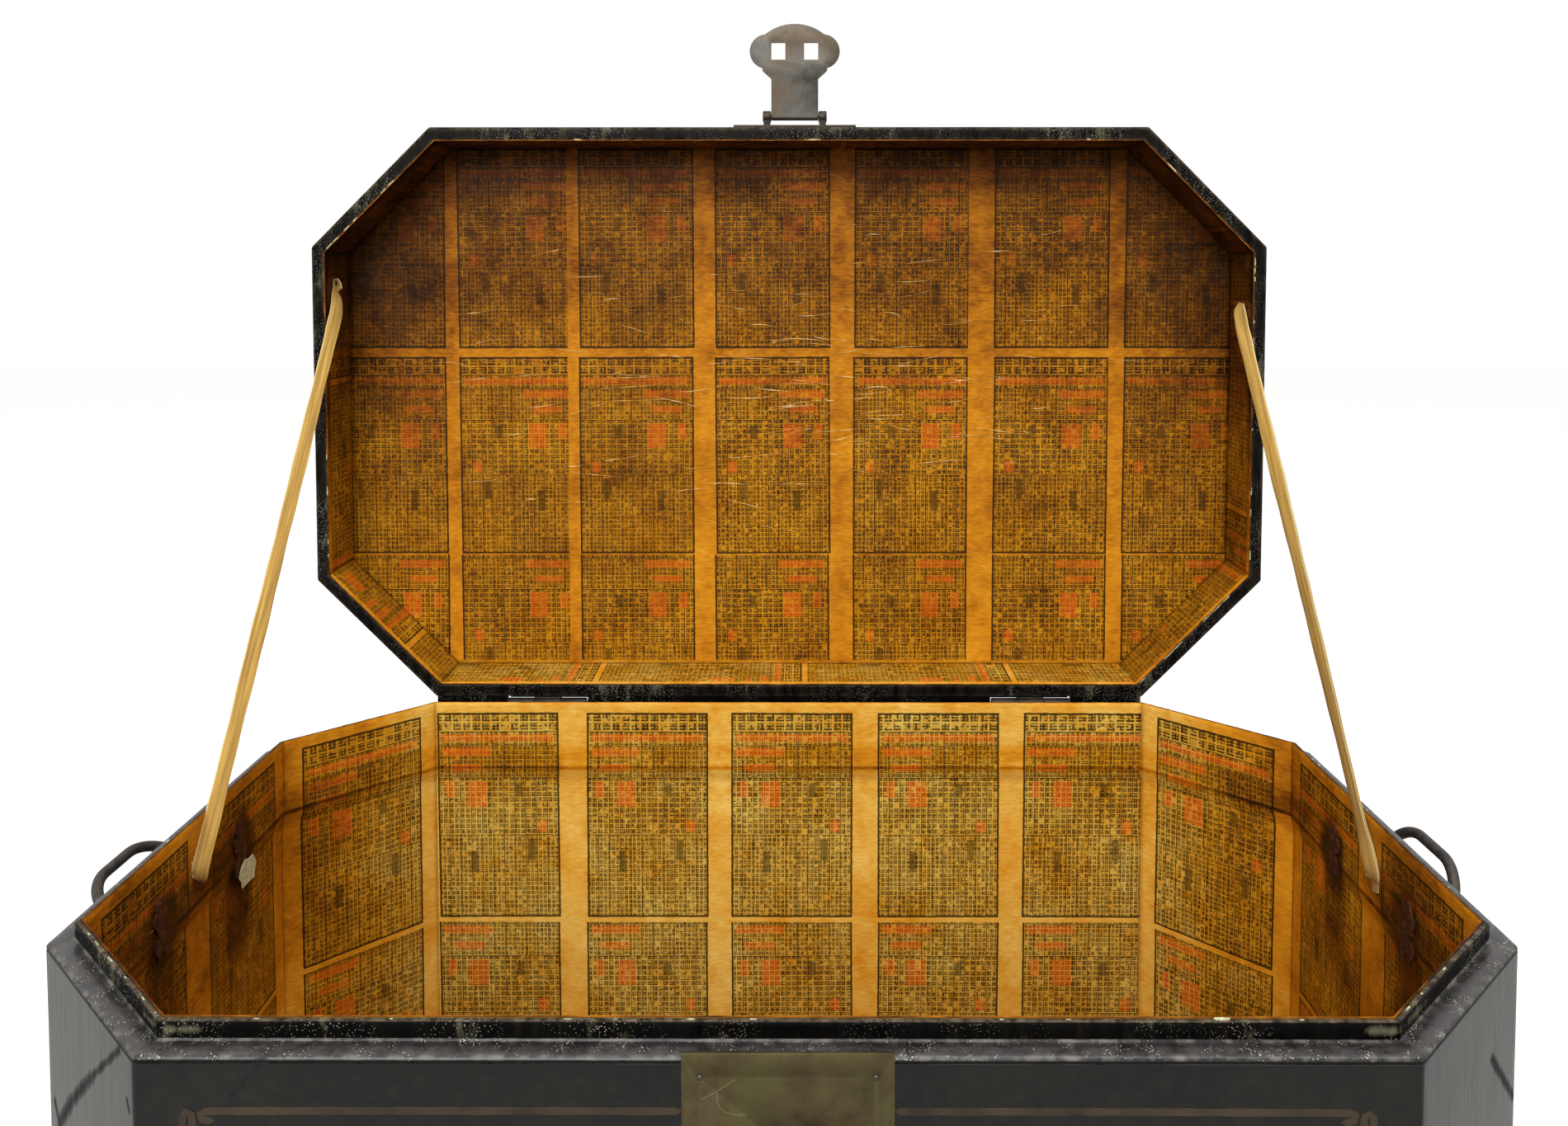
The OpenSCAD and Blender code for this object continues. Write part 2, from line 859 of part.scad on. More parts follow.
module tape_lid_tacks() {
    color("#3a332a")
        open_lid()
            for (s = [-1, 1])
                side_tack(lid_tack(s), s, lid_paper_t + pad_t);
}

bottom_board();
front_wall();
body_wall(FRONT_RIGHT);  // front_right_wall
end_wall(1);  // right_wall
body_wall(BACK_RIGHT);  // back_right_wall
back_wall();
body_wall(BACK_LEFT);  // back_left_wall
end_wall(-1);  // left_wall
body_wall(FRONT_LEFT);  // front_left_wall
lip(FRONT);  // front_lip
lip(FRONT_RIGHT);  // front_right_lip
end_lip(1);  // right_lip
lip(BACK_RIGHT);  // back_right_lip
lip(BACK);  // back_lip
lip(BACK_LEFT);  // back_left_lip
end_lip(-1);  // left_lip
lip(FRONT_LEFT);  // front_left_lip
body_wall_lining();
body_floor_lining();
lid_top_board();
lid_front_wall();
lid_wall(FRONT_RIGHT);  // lid_front_right_wall
lid_end_wall(1);  // lid_right_wall
lid_wall(BACK_RIGHT);  // lid_back_right_wall
lid_back_wall();
lid_wall(BACK_LEFT);  // lid_back_left_wall
lid_end_wall(-1);  // lid_left_wall
lid_wall(FRONT_LEFT);  // lid_front_left_wall
lid_wall_lining();
lid_top_lining();
lock_plate();
lock_staples();
lock_plate_nails();
lid_plate();
lid_plate_nails();
hasp_eyes();
hasp_rod();
hasp();
hinge_body_leaf(-1);  // left_hinge_body_leaf
hinge_lid_leaf(-1);  // left_hinge_lid_leaf
hinge_pin(-1);  // left_hinge_pin
hinge_body_leaf(1);  // right_hinge_body_leaf
hinge_lid_leaf(1);  // right_hinge_lid_leaf
hinge_pin(1);  // right_hinge_pin
hinge_body_nails();
hinge_lid_nails();
bail(-1);  // left_bail
bail_eyes(-1);  // left_bail_eyes
bail_roses(-1);  // left_bail_roses
bail(1);  // right_bail
bail_eyes(1);  // right_bail_eyes
bail_roses(1);  // right_bail_roses
tape(-1);  // left_tape
tape(1);  // right_tape
tape_body_tacks();
tape_lid_tacks();
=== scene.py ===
import itertools
import math
import random
from collections import namedtuple

import bmesh
import bpy
import numpy as np
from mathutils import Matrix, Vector, noise


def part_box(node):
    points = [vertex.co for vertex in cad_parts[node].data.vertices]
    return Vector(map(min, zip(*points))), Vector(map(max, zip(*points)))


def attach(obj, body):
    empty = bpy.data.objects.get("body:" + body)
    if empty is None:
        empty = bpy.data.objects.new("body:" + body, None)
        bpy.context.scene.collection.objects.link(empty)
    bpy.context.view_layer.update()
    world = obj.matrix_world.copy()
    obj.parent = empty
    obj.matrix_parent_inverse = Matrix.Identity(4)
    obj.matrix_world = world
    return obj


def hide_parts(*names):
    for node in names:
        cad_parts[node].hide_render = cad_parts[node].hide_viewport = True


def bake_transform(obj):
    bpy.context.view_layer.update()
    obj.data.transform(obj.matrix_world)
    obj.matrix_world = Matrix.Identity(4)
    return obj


# Lacquered travel trunk: black lacquer over boards, varnished printed paper inside,
# old brass on the front, iron bails on the ends and two cotton tapes that hold the lid.
# Lengths in this script are in millimetres until a mesh is made.

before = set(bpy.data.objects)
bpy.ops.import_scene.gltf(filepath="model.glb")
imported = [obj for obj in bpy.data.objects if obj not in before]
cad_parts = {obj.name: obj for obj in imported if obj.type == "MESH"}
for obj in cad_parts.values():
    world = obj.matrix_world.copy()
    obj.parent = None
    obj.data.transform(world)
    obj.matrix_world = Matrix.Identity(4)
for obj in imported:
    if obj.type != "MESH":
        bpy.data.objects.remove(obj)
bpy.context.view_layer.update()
random.seed(7)

MM = 0.001
# The eight sides, anticlockwise from the front
SIDES = ["front", "front_right", "right", "back_right", "back", "back_left", "left", "front_left"]

# Sizes of the trunk, as in the CAD source. Half the width and depth of its plan, how far a cut
# corner reaches along either side, and the radius of the corners
SIDE_X, SIDE_Y, LEG, CORNER_R = 400.0, 241.0, 100.0, 4.0
# Height of the ledge, and the thicknesses of the bottom, the walls and the lip boards
BODY_H, BOTTOM_T, WALL_T, LIP_T = 325.0, 12.0, 13.0, 3.0
LIP_TOP, LIP_FOOT = 334.5, 279.0
# Closed lid: heights of its rim and of its top's inside and outside, and how far its walls'
# outer and inner faces are drawn in from the plan
RIM_Z, LID_TOP_IN, LID_TOP = 325.2, 383.2, 393.2
LID_OUT, LID_IN = 0.3, 11.5
# Thickness that the CAD solids give the paper
PAPER = 0.5
# The line that the lid turns about
HINGE_Y, HINGE_Z = 247.3, 325.0
# How far right of the middle the lock stands, and the thickness of its plates
LOCK_X = 5.0
PLATE_T = 2.0


# Places on the trunk


def plan(depth):
    """Corner points of the eight-sided plan drawn in by depth, anticlockwise from the front left."""
    x, y = SIDE_X - depth, SIDE_Y - depth
    c = LEG - depth * (2 - math.sqrt(2))
    return np.array([[c - x, -y], [x - c, -y], [x, c - y], [x, y - c],
                     [x - c, y], [c - x, y], [-x, y - c], [-x, c - y]])


def side_run(side, depth):
    """Length of one side at a depth, and the way that the side faces."""
    corners = plan(depth)
    facing = math.radians(45 * side - 90)
    length = float(np.linalg.norm(corners[(side + 1) % 8] - corners[side]))
    return length, np.array([math.cos(facing), math.sin(facing)])


def cut_corners(depth):
    """For each cut corner's side at a depth, a point on it and the way that it faces."""
    return [(plan(depth)[side], side_run(side, depth)[1]) for side in (1, 3, 5, 7)]


def along_side(side, depth, share):
    """The point on one side at a depth that lies at a share of its length."""
    corners = plan(depth)
    a, b = corners[side], corners[(side + 1) % 8]
    return a + (b - a) * share


def opened(points):
    """Places on the closed lid, carried to the open lid of the photograph."""
    p = np.asarray(points, float)
    return np.stack([p[..., 0], HINGE_Y + p[..., 2] - HINGE_Z, HINGE_Z - p[..., 1] + HINGE_Y], -1)


def wavy(p, size, seed=0.0):
    """Smooth noise from -1 to 1 whose bumps are about size millimetres wide."""
    return noise.noise(Vector((p[0] / size + seed, p[1] / size + seed * 0.7, p[2] / size)))


def smooth(low, high, value):
    """Rises from 0 at low to 1 at high, with soft ends."""
    t = min(max((value - low) / (high - low), 0.0), 1.0)
    return t * t * (3 - 2 * t)


# Finishes

# A texture's Scale is how many of its bumps go into a metre, or into a millimetre where it is
# laid on a sheet's or a tape's own millimetres.


def hex_colour(text):
    """An sRGB hex value as the linear colour that a socket takes."""
    parts = [int(text[i:i + 2], 16) / 255 for i in (1, 3, 5)]
    return [c / 12.92 if c <= 0.04045 else ((c + 0.055) / 1.055) ** 2.4 for c in parts] + [1.0]


def feed(tree, made, inputs):
    """Fills a node's inputs, by number or name, with values, hex colours, nodes or outputs."""
    for key, value in (inputs.items() if isinstance(inputs, dict) else enumerate(inputs)):
        if isinstance(value, bpy.types.Node):
            value = next(o for o in value.outputs if o.enabled)
        if isinstance(value, bpy.types.NodeSocket):
            tree.links.new(value, made.inputs[key])
        elif value is not None:
            made.inputs[key].default_value = hex_colour(value) if isinstance(value, str) else value


def add(tree, kind, inputs=(), stops=(), **settings):
    """Adds a node with its settings, its ramp's stops and what feeds it."""
    made = tree.nodes.new("ShaderNode" + kind)
    for key, value in settings.items():
        setattr(made, key, value)
    if stops:
        elements = made.color_ramp.elements
        while len(elements) < len(stops):
            elements.new(0.5)
        for element, (at, colour) in zip(elements, stops):
            element.position = at
            element.color = hex_colour(colour)
    feed(tree, made, inputs)
    return made


def new_finish(name, **shader_values):
    """A material, its tree and its main shader with constant values set."""
    material = bpy.data.materials.new(name)
    material.use_nodes = True
    tree = material.node_tree
    shader = tree.nodes["Principled BSDF"]
    for key, value in shader_values.items():
        socket = shader.inputs[key.replace("_", " ")]
        socket.default_value = hex_colour(value) if isinstance(value, str) else value
    return material, tree, shader


def near_line(tree, place, start, end, width):
    """1 on the straight line between two places in millimetres, down to 0 at half its width."""
    first, way = Vector(start) * MM, (Vector(end) - Vector(start)) * MM
    off = add(tree, "VectorMath", [place, tuple(first)], operation="SUBTRACT")
    along = add(tree, "VectorMath", [off, tuple(way / way.length_squared)], operation="DOT_PRODUCT")
    held = add(tree, "Math", [along.outputs["Value"], 0.0], operation="ADD", use_clamp=True)
    foot = add(tree, "VectorMath", {0: tuple(way), "Scale": held}, operation="SCALE")
    away = add(tree, "VectorMath", [off, foot], operation="DISTANCE")
    return add(tree, "MapRange", [away.outputs["Value"], 0.0, width / 2 * MM, 1.0, 0.0])


# Scuffs on the lacquer, and a dark reflection painted as the first four lines, a zigzag on the front left
# corner: where each starts and ends, and its width
SCUFFS_AND_REFLECTIONS = [((-393, -148, 241), (-388, -153, 232), 9), ((-388, -153, 232), (-370, -171, 257), 14),
          ((-370, -171, 257), (-345, -196, 286), 12), ((-345, -196, 286), (-313, -228, 320), 8),
          ((-240, -241, 322), (-258, -241, 302), 12), ((371, -170, 280), (384, -157, 262), 10),
          ((384, -157, 262), (398, -143, 242), 10), ((-306, -235, 300), (-304, -237, 296), 6)]
# Places on the lip boards where glue ran down
GLUE_RUNS = [((-290, -228, 330), (-276, -228, 330), 11), ((280, -228, 330), (296, -228, 330), 13),
             ((304, -220, 330), (320, -204, 330), 11), ((-308, -216, 330), (-300, -224, 330), 9)]


def black_lacquer():
    """Natural lacquer on wood, rubbed and polished by hand. Black and glossy, it mirrors softly in
    upright streaks, is scuffed dull in a few places, has a dark reflection painted as a zigzag on its
    front left corner, turns grey along its worn edges, where at the ledge the grey is partly a painted
    highlight, and keeps pale dust and specks on its ledges and rims."""
    material, tree, shader = new_finish("natural lacquer, black", IOR=1.45, Specular_IOR_Level=0.38)
    place = add(tree, "TexCoord").outputs["Object"]
    dust = add(tree, "Attribute", attribute_name="dust").outputs["Fac"]
    wear_and_highlight = add(tree, "Attribute", attribute_name="wear_and_highlight").outputs["Fac"]
    # Cloudy patches about 60 mm across, and rubbing marks drawn 4 mm wide where real ones are finer
    cloud = add(tree, "TexNoise", {"Vector": place, "Scale": 17.0, "Detail": 4.0})
    rubbed_place = add(tree, "VectorMath", [place, (50.0, 50.0, 5.0)], operation="MULTIPLY")
    rubbed = add(tree, "TexNoise", {"Vector": rubbed_place, "Scale": 5.0, "Detail": 3.0})
    tone = add(tree, "ValToRGB", [cloud], stops=[(0.3, "#080806"), (0.55, "#0e0e0b"), (0.8, "#151512")])
    # Dust lies in a film, thick and thin over 12 mm, with specks under 1 mm in clusters of 9 mm
    film = add(tree, "TexNoise", {"Vector": place, "Scale": 85.0, "Detail": 6.0, "Roughness": 0.7})
    film_here = add(tree, "MapRange", [film, 0.3, 0.66, 0.1, 1.0])
    dusty = add(tree, "Math", [dust, film_here], operation="MULTIPLY", use_clamp=True)
    film_share = add(tree, "Math", [dusty, 0.75], operation="MULTIPLY")
    dusted = add(tree, "Mix", {0: film_share, 6: tone, 7: "#5c5656"}, data_type="RGBA")
    speck = add(tree, "TexVoronoi", {"Vector": place, "Scale": 800.0})
    small = add(tree, "Math", [speck.outputs["Distance"], 0.26], operation="LESS_THAN")
    cluster = add(tree, "TexNoise", {"Vector": place, "Scale": 110.0, "Detail": 4.0, "Roughness": 0.7})
    few = add(tree, "MapRange", [cluster, 0.50, 0.66, 0.0, 1.0])
    specked = add(tree, "Math", [small, few], operation="MULTIPLY")
    speck_dust = add(tree, "MapRange", [dust, 0.0, 0.3, 0.0, 1.0])
    speck_share = add(tree, "Math", [specked, speck_dust], operation="MULTIPLY")
    speckled = add(tree, "Mix", {0: speck_share, 6: dusted, 7: "#cdc8ba"}, data_type="RGBA")
    # Edges lose their gloss and turn grey in patches about 8 mm long. Along the ledge's edges the grey is
    # partly a painted highlight.
    worn_noise = add(tree, "TexNoise", {"Vector": place, "Scale": 120.0, "Detail": 5.0})
    worn_here = add(tree, "MapRange", [worn_noise, 0.45, 0.7, 0.0, 1.0])
    worn_and_highlit = add(tree, "Math", [worn_here, wear_and_highlight], operation="MULTIPLY")
    edged = add(tree, "Mix", {0: worn_and_highlit, 6: speckled, 7: "#6b675f"}, data_type="RGBA")
    # Seams, where the dust value is below 0, turn near-black and lose their gloss, and so do the scuffs
    # and the dark reflection painted on the front left corner
    seam = add(tree, "MapRange", [dust, 0.0, -1.0, 0.0, 1.0])
    scuffs_and_reflections = seam
    for start, end, width in SCUFFS_AND_REFLECTIONS:
        band = near_line(tree, place, start, end, width)
        scuffs_and_reflections = add(tree, "Math", [scuffs_and_reflections, band], operation="MAXIMUM")
    ragged = add(tree, "MapRange", [rubbed, 0.3, 0.7, 0.7, 1.2])
    broken = add(tree, "Math", [scuffs_and_reflections, ragged], operation="MULTIPLY")
    dulled = add(tree, "MapRange", [broken, 0.25, 0.9, 0.0, 0.85])
    blackened = add(tree, "Mix", {0: dulled, 6: edged, 7: "#050504"}, data_type="RGBA")
    gloss = add(tree, "MapRange", [rubbed, 0.3, 0.7, 0.14, 0.26])
    dull = add(tree, "Math", [dusty, worn_and_highlit], operation="MAXIMUM")
    rubbed_off = add(tree, "Mix", {0: dull, 2: gloss, 3: 0.5}, data_type="FLOAT")
    rough = add(tree, "Mix", {0: dulled, 2: rubbed_off, 3: 0.9}, data_type="FLOAT")
    # The wood's hollows, 25 mm across, the rubbing marks and the dust lie on one another
    hollow = add(tree, "TexNoise", {"Vector": place, "Scale": 40.0, "Detail": 2.0})
    bump = add(tree, "Bump", {"Height": hollow, "Distance": 0.0006, "Strength": 0.3})
    streaks = add(tree, "Bump", {"Height": rubbed, "Distance": 0.0004, "Strength": 0.2, "Normal": bump})
    grain = add(tree, "Bump", {"Height": film, "Distance": 0.0003, "Strength": 0.25, "Normal": streaks})
    feed(tree, shader, {"Base Color": blackened, "Roughness": rough, "Normal": grain})
    return material


def lip_wood():
    """Thin lip boards lacquered black, with pale green glue that ran down them near the front corners
    when the paper was pasted, pale specks, tan paper fibres along the top edge, and a pale line along the
    foot that is partly glue and partly a painted highlight."""
    material, tree, shader = new_finish("lacquered lip wood", IOR=1.45, Specular_IOR_Level=0.05)
    place = add(tree, "TexCoord").outputs["Object"]
    wear_and_highlight = add(tree, "Attribute", attribute_name="wear_and_highlight").outputs["Fac"]
    # Glue lies in runs 7 mm wide and three times as tall, thicker in patches of 40 mm
    run_place = add(tree, "VectorMath", [place, (1.0, 1.0, 0.3)], operation="MULTIPLY")
    run = add(tree, "TexNoise", {"Vector": run_place, "Scale": 150.0, "Detail": 5.0, "Roughness": 0.65})
    broad = add(tree, "TexNoise", {"Vector": place, "Scale": 26.0, "Detail": 3.0})
    tone = add(tree, "ValToRGB", [run], stops=[(0.35, "#050404"), (0.6, "#0c0a08"), (0.8, "#1e1b14")])
    both = add(tree, "Math", [run, broad], operation="MULTIPLY")
    glue = add(tree, "MapRange", [both, 0.33, 0.45, 0.0, 0.35])
    for start, end, width in GLUE_RUNS:
        band = near_line(tree, place, start, end, width)
        near = add(tree, "Math", [band, run], operation="MULTIPLY")
        patch = add(tree, "MapRange", [near, 0.28, 0.5, 0.0, 0.5])
        glue = add(tree, "Math", [glue, patch], operation="MAXIMUM")
    glued = add(tree, "Mix", {0: glue, 6: tone, 7: "#7a795e"}, data_type="RGBA")
    # Specks are 0.6 mm across
    speck = add(tree, "TexVoronoi", {"Vector": place, "Scale": 700.0})
    small = add(tree, "Math", [speck.outputs["Distance"], 0.22], operation="LESS_THAN")
    few = add(tree, "MapRange", [broad, 0.44, 0.66, 0.0, 0.55])
    specked = add(tree, "Math", [small, few], operation="MULTIPLY")
    speckled = add(tree, "Mix", {0: specked, 6: glued, 7: "#b8b4a4"}, data_type="RGBA")
    # Where the wear value is set, the wood turns tan: paper fibres along the top edge, and at the foot a
    # pale line that is partly a painted highlight
    frayed_here = add(tree, "MapRange", [run, 0.4, 0.62, 0.15, 1.0])
    frayed = add(tree, "Math", [wear_and_highlight, frayed_here], operation="MULTIPLY")
    edged = add(tree, "Mix", {0: frayed, 6: speckled, 7: "#7c6c56"}, data_type="RGBA")
    rough = add(tree, "MapRange", [run, 0.3, 0.7, 0.2, 0.5])
    bump = add(tree, "Bump", {"Height": run, "Distance": 0.0005, "Strength": 0.5})
    feed(tree, shader, {"Base Color": edged, "Roughness": rough, "Normal": bump})
    return material


def patch_mask(tree, place, patch):
    """1 inside a rectangle (left, right, top, bottom) in a sheet's millimetres, else 0."""
    left, right, top, bottom = patch
    middle = ((left + right) / 2, (top + bottom) / 2, 0.0)
    half = ((right - left) / 2, (bottom - top) / 2, 1.0)
    off = add(tree, "VectorMath", [place, middle], operation="SUBTRACT")
    size = add(tree, "VectorMath", [off], operation="ABSOLUTE")
    share = add(tree, "VectorMath", [size, half], operation="DIVIDE")
    parts = add(tree, "SeparateXYZ", [share])
    furthest = add(tree, "Math", [parts.outputs[0], parts.outputs[1]], operation="MAXIMUM")
    return add(tree, "Math", [furthest, 1.0], operation="LESS_THAN")


def any_patch(tree, place, patches):
    """1 inside any of the rectangles, else 0."""
    found = 0.0
    for patch in patches:
        found = add(tree, "Math", [found, patch_mask(tree, place, patch)], operation="MAXIMUM")
    return found


# A printed sheet inside its frame line, and the margin of paper outside it
SHEET_W, SHEET_H = 100.0, 174.0
SHEET_MARGIN = 1.6
# Orange patches, dark blocks and ruled lines on a sheet, as (left, right, top, bottom)
RED_PATCHES = [(3, 97, 17.5, 23), (60, 76, 58, 80), (86, 94, 58, 72), (10, 18, 92, 102),
               (56, 97, 29, 36), (64, 90, 43, 49)]
DARK_PATCHES = [(20, 26, 108, 126), (68, 74, 118, 136), (30, 36, 60, 72)]
RULE_LINES = [(0, 100, 15.0, 15.7), (0, 100, 27, 27.5), (0, 100, 55, 55.5), (0, 100, 104, 104.4),
              (44.5, 45.1, 15, 55), (58, 58.4, 55, 104), (30.9, 31.3, 104, 174)]
# Where each block of marks below the head starts, and the width and height of its cells
BLOCKS = [(15.4, 4.1, 4.8), (27.3, 3.3, 3.9), (55.3, 4.6, 4.5), (104.2, 3.5, 3.8)]


def cell_marks(tree, sheet, down, number):
    """Marks in cells: 8 by 7.4 mm in the head of the sheet and about 4 mm below it, where the
    real ones are 3 mm. Each cell has a wash of ink and strokes cut both ways, and pale gutters
    are left between cells. Gives the marks, how far each place lies from its cell's middle, and
    a number of chance for each cell."""
    cell_size = (8.0, 7.4, 1.0)
    for top, wide, tall in BLOCKS:
        below = add(tree, "Math", [down, top], operation="GREATER_THAN")
        cell_size = add(tree, "Mix", {0: below, 4: cell_size, 5: (wide, tall, 1.0)}, data_type="VECTOR")
    cell = add(tree, "VectorMath", [sheet, cell_size], operation="DIVIDE")
    cell_in = add(tree, "VectorMath", [cell], operation="FRACTION")
    cell_middle = add(tree, "VectorMath", [cell_in, (0.5, 0.5, 0.0)], operation="SUBTRACT")
    cell_reach = add(tree, "VectorMath", [cell_middle], operation="ABSOLUTE")
    reach = add(tree, "SeparateXYZ", [cell_reach])
    far = add(tree, "Math", [reach.outputs[0], reach.outputs[1]], operation="MAXIMUM")
    clear = add(tree, "Math", [far, 0.41], operation="LESS_THAN")
    own = add(tree, "VectorMath", [number, (37.0, 11.0, 0.0)], operation="MULTIPLY")
    strokes = []
    # How a cell is cut into strokes, the way across them, and the share of them left out
    for split, across, left_out in (((1.0, 3.0, 1.0), 1, 0.25), ((2.6, 1.0, 1.0), 0, 0.45)):
        cut = add(tree, "VectorMath", [cell, split], operation="MULTIPLY")
        step = add(tree, "VectorMath", [cut], operation="FLOOR")
        keyed = add(tree, "VectorMath", [step, own], operation="ADD")
        chance = add(tree, "TexWhiteNoise", {"Vector": keyed}, noise_dimensions="3D")
        taken = add(tree, "Math", [chance, left_out], operation="GREATER_THAN")
        cut_in = add(tree, "VectorMath", [cut], operation="FRACTION")
        share = add(tree, "SeparateXYZ", [cut_in])
        drawn = add(tree, "Math", [share.outputs[across], 0.6], operation="LESS_THAN")
        strokes.append(add(tree, "Math", [taken, drawn], operation="MULTIPLY"))
    stroke = add(tree, "Math", strokes, operation="MAXIMUM")
    # A few cells are left empty, and the wash is deeper in some than in others
    whole = add(tree, "VectorMath", [cell], operation="FLOOR")
    whole_own = add(tree, "VectorMath", [whole, own], operation="ADD")
    cell_chance = add(tree, "TexWhiteNoise", {"Vector": whole_own}, noise_dimensions="3D")
    filled = add(tree, "Math", [cell_chance, 0.07], operation="GREATER_THAN")
    wash = add(tree, "MapRange", [cell_chance, 0.0, 1.0, 0.03, 0.24])
    washed = add(tree, "Math", [stroke, wash], operation="MAXIMUM")
    kept_clear = add(tree, "Math", [clear, filled], operation="MULTIPLY")
    return add(tree, "Math", [washed, kept_clear], operation="MULTIPLY"), far, cell_chance


def sheet_rules(tree, sheet, inside):
    """The frame line of a sheet, about 1.5 mm wide, upright rules 9.1 mm apart below its head,
    and the lines between its blocks. inside is the distance inside the frame line."""
    across, down = add(tree, "SeparateXYZ", [sheet]).outputs[:2]
    near = add(tree, "Math", [inside], operation="ABSOLUTE")
    frame_line = add(tree, "Math", [near, 0.85], operation="LESS_THAN")
    column = add(tree, "Math", [across, 9.1], operation="DIVIDE")
    column_in = add(tree, "Math", [column], operation="FRACT")
    ruled = add(tree, "Math", [column_in, 0.06], operation="LESS_THAN")
    below_head = add(tree, "Math", [down, BLOCKS[0][0]], operation="GREATER_THAN")
    upright = add(tree, "Math", [ruled, below_head], operation="MULTIPLY")
    framed = add(tree, "Math", [frame_line, upright], operation="MAXIMUM")
    return add(tree, "Math", [framed, any_patch(tree, sheet, RULE_LINES)], operation="MAXIMUM")


def varnish_shade(tree, place, age_and_shade, blotch):
    """How dark the varnished paper is, from 0 to 1: its age with the painted shade that comes in with it,
    blotches of 50 and 13 mm, and fibres drawn 1.7 mm wide and four times as long, where real ones are far
    finer."""
    spot = add(tree, "TexNoise", {"Vector": place, "Scale": 75.0, "Detail": 4.0})
    fibre_place = add(tree, "VectorMath", [place, (0.25, 0.25, 1.0)], operation="MULTIPLY")
    fibre = add(tree, "TexNoise", {"Vector": fibre_place, "Scale": 600.0, "Detail": 4.0})
    blotch_push = add(tree, "MapRange", [blotch, 0.3, 0.7, -0.09, 0.09])
    spot_push = add(tree, "MapRange", [spot, 0.45, 0.7, 0.0, 0.09])
    fibre_push = add(tree, "MapRange", [fibre, 0.3, 0.7, -0.07, 0.07])
    aged_and_shaded = add(tree, "Math", [age_and_shade, blotch_push], operation="ADD")
    spotted = add(tree, "Math", [aged_and_shaded, spot_push], operation="ADD")
    return add(tree, "Math", [spotted, fibre_push], operation="ADD", use_clamp=True)


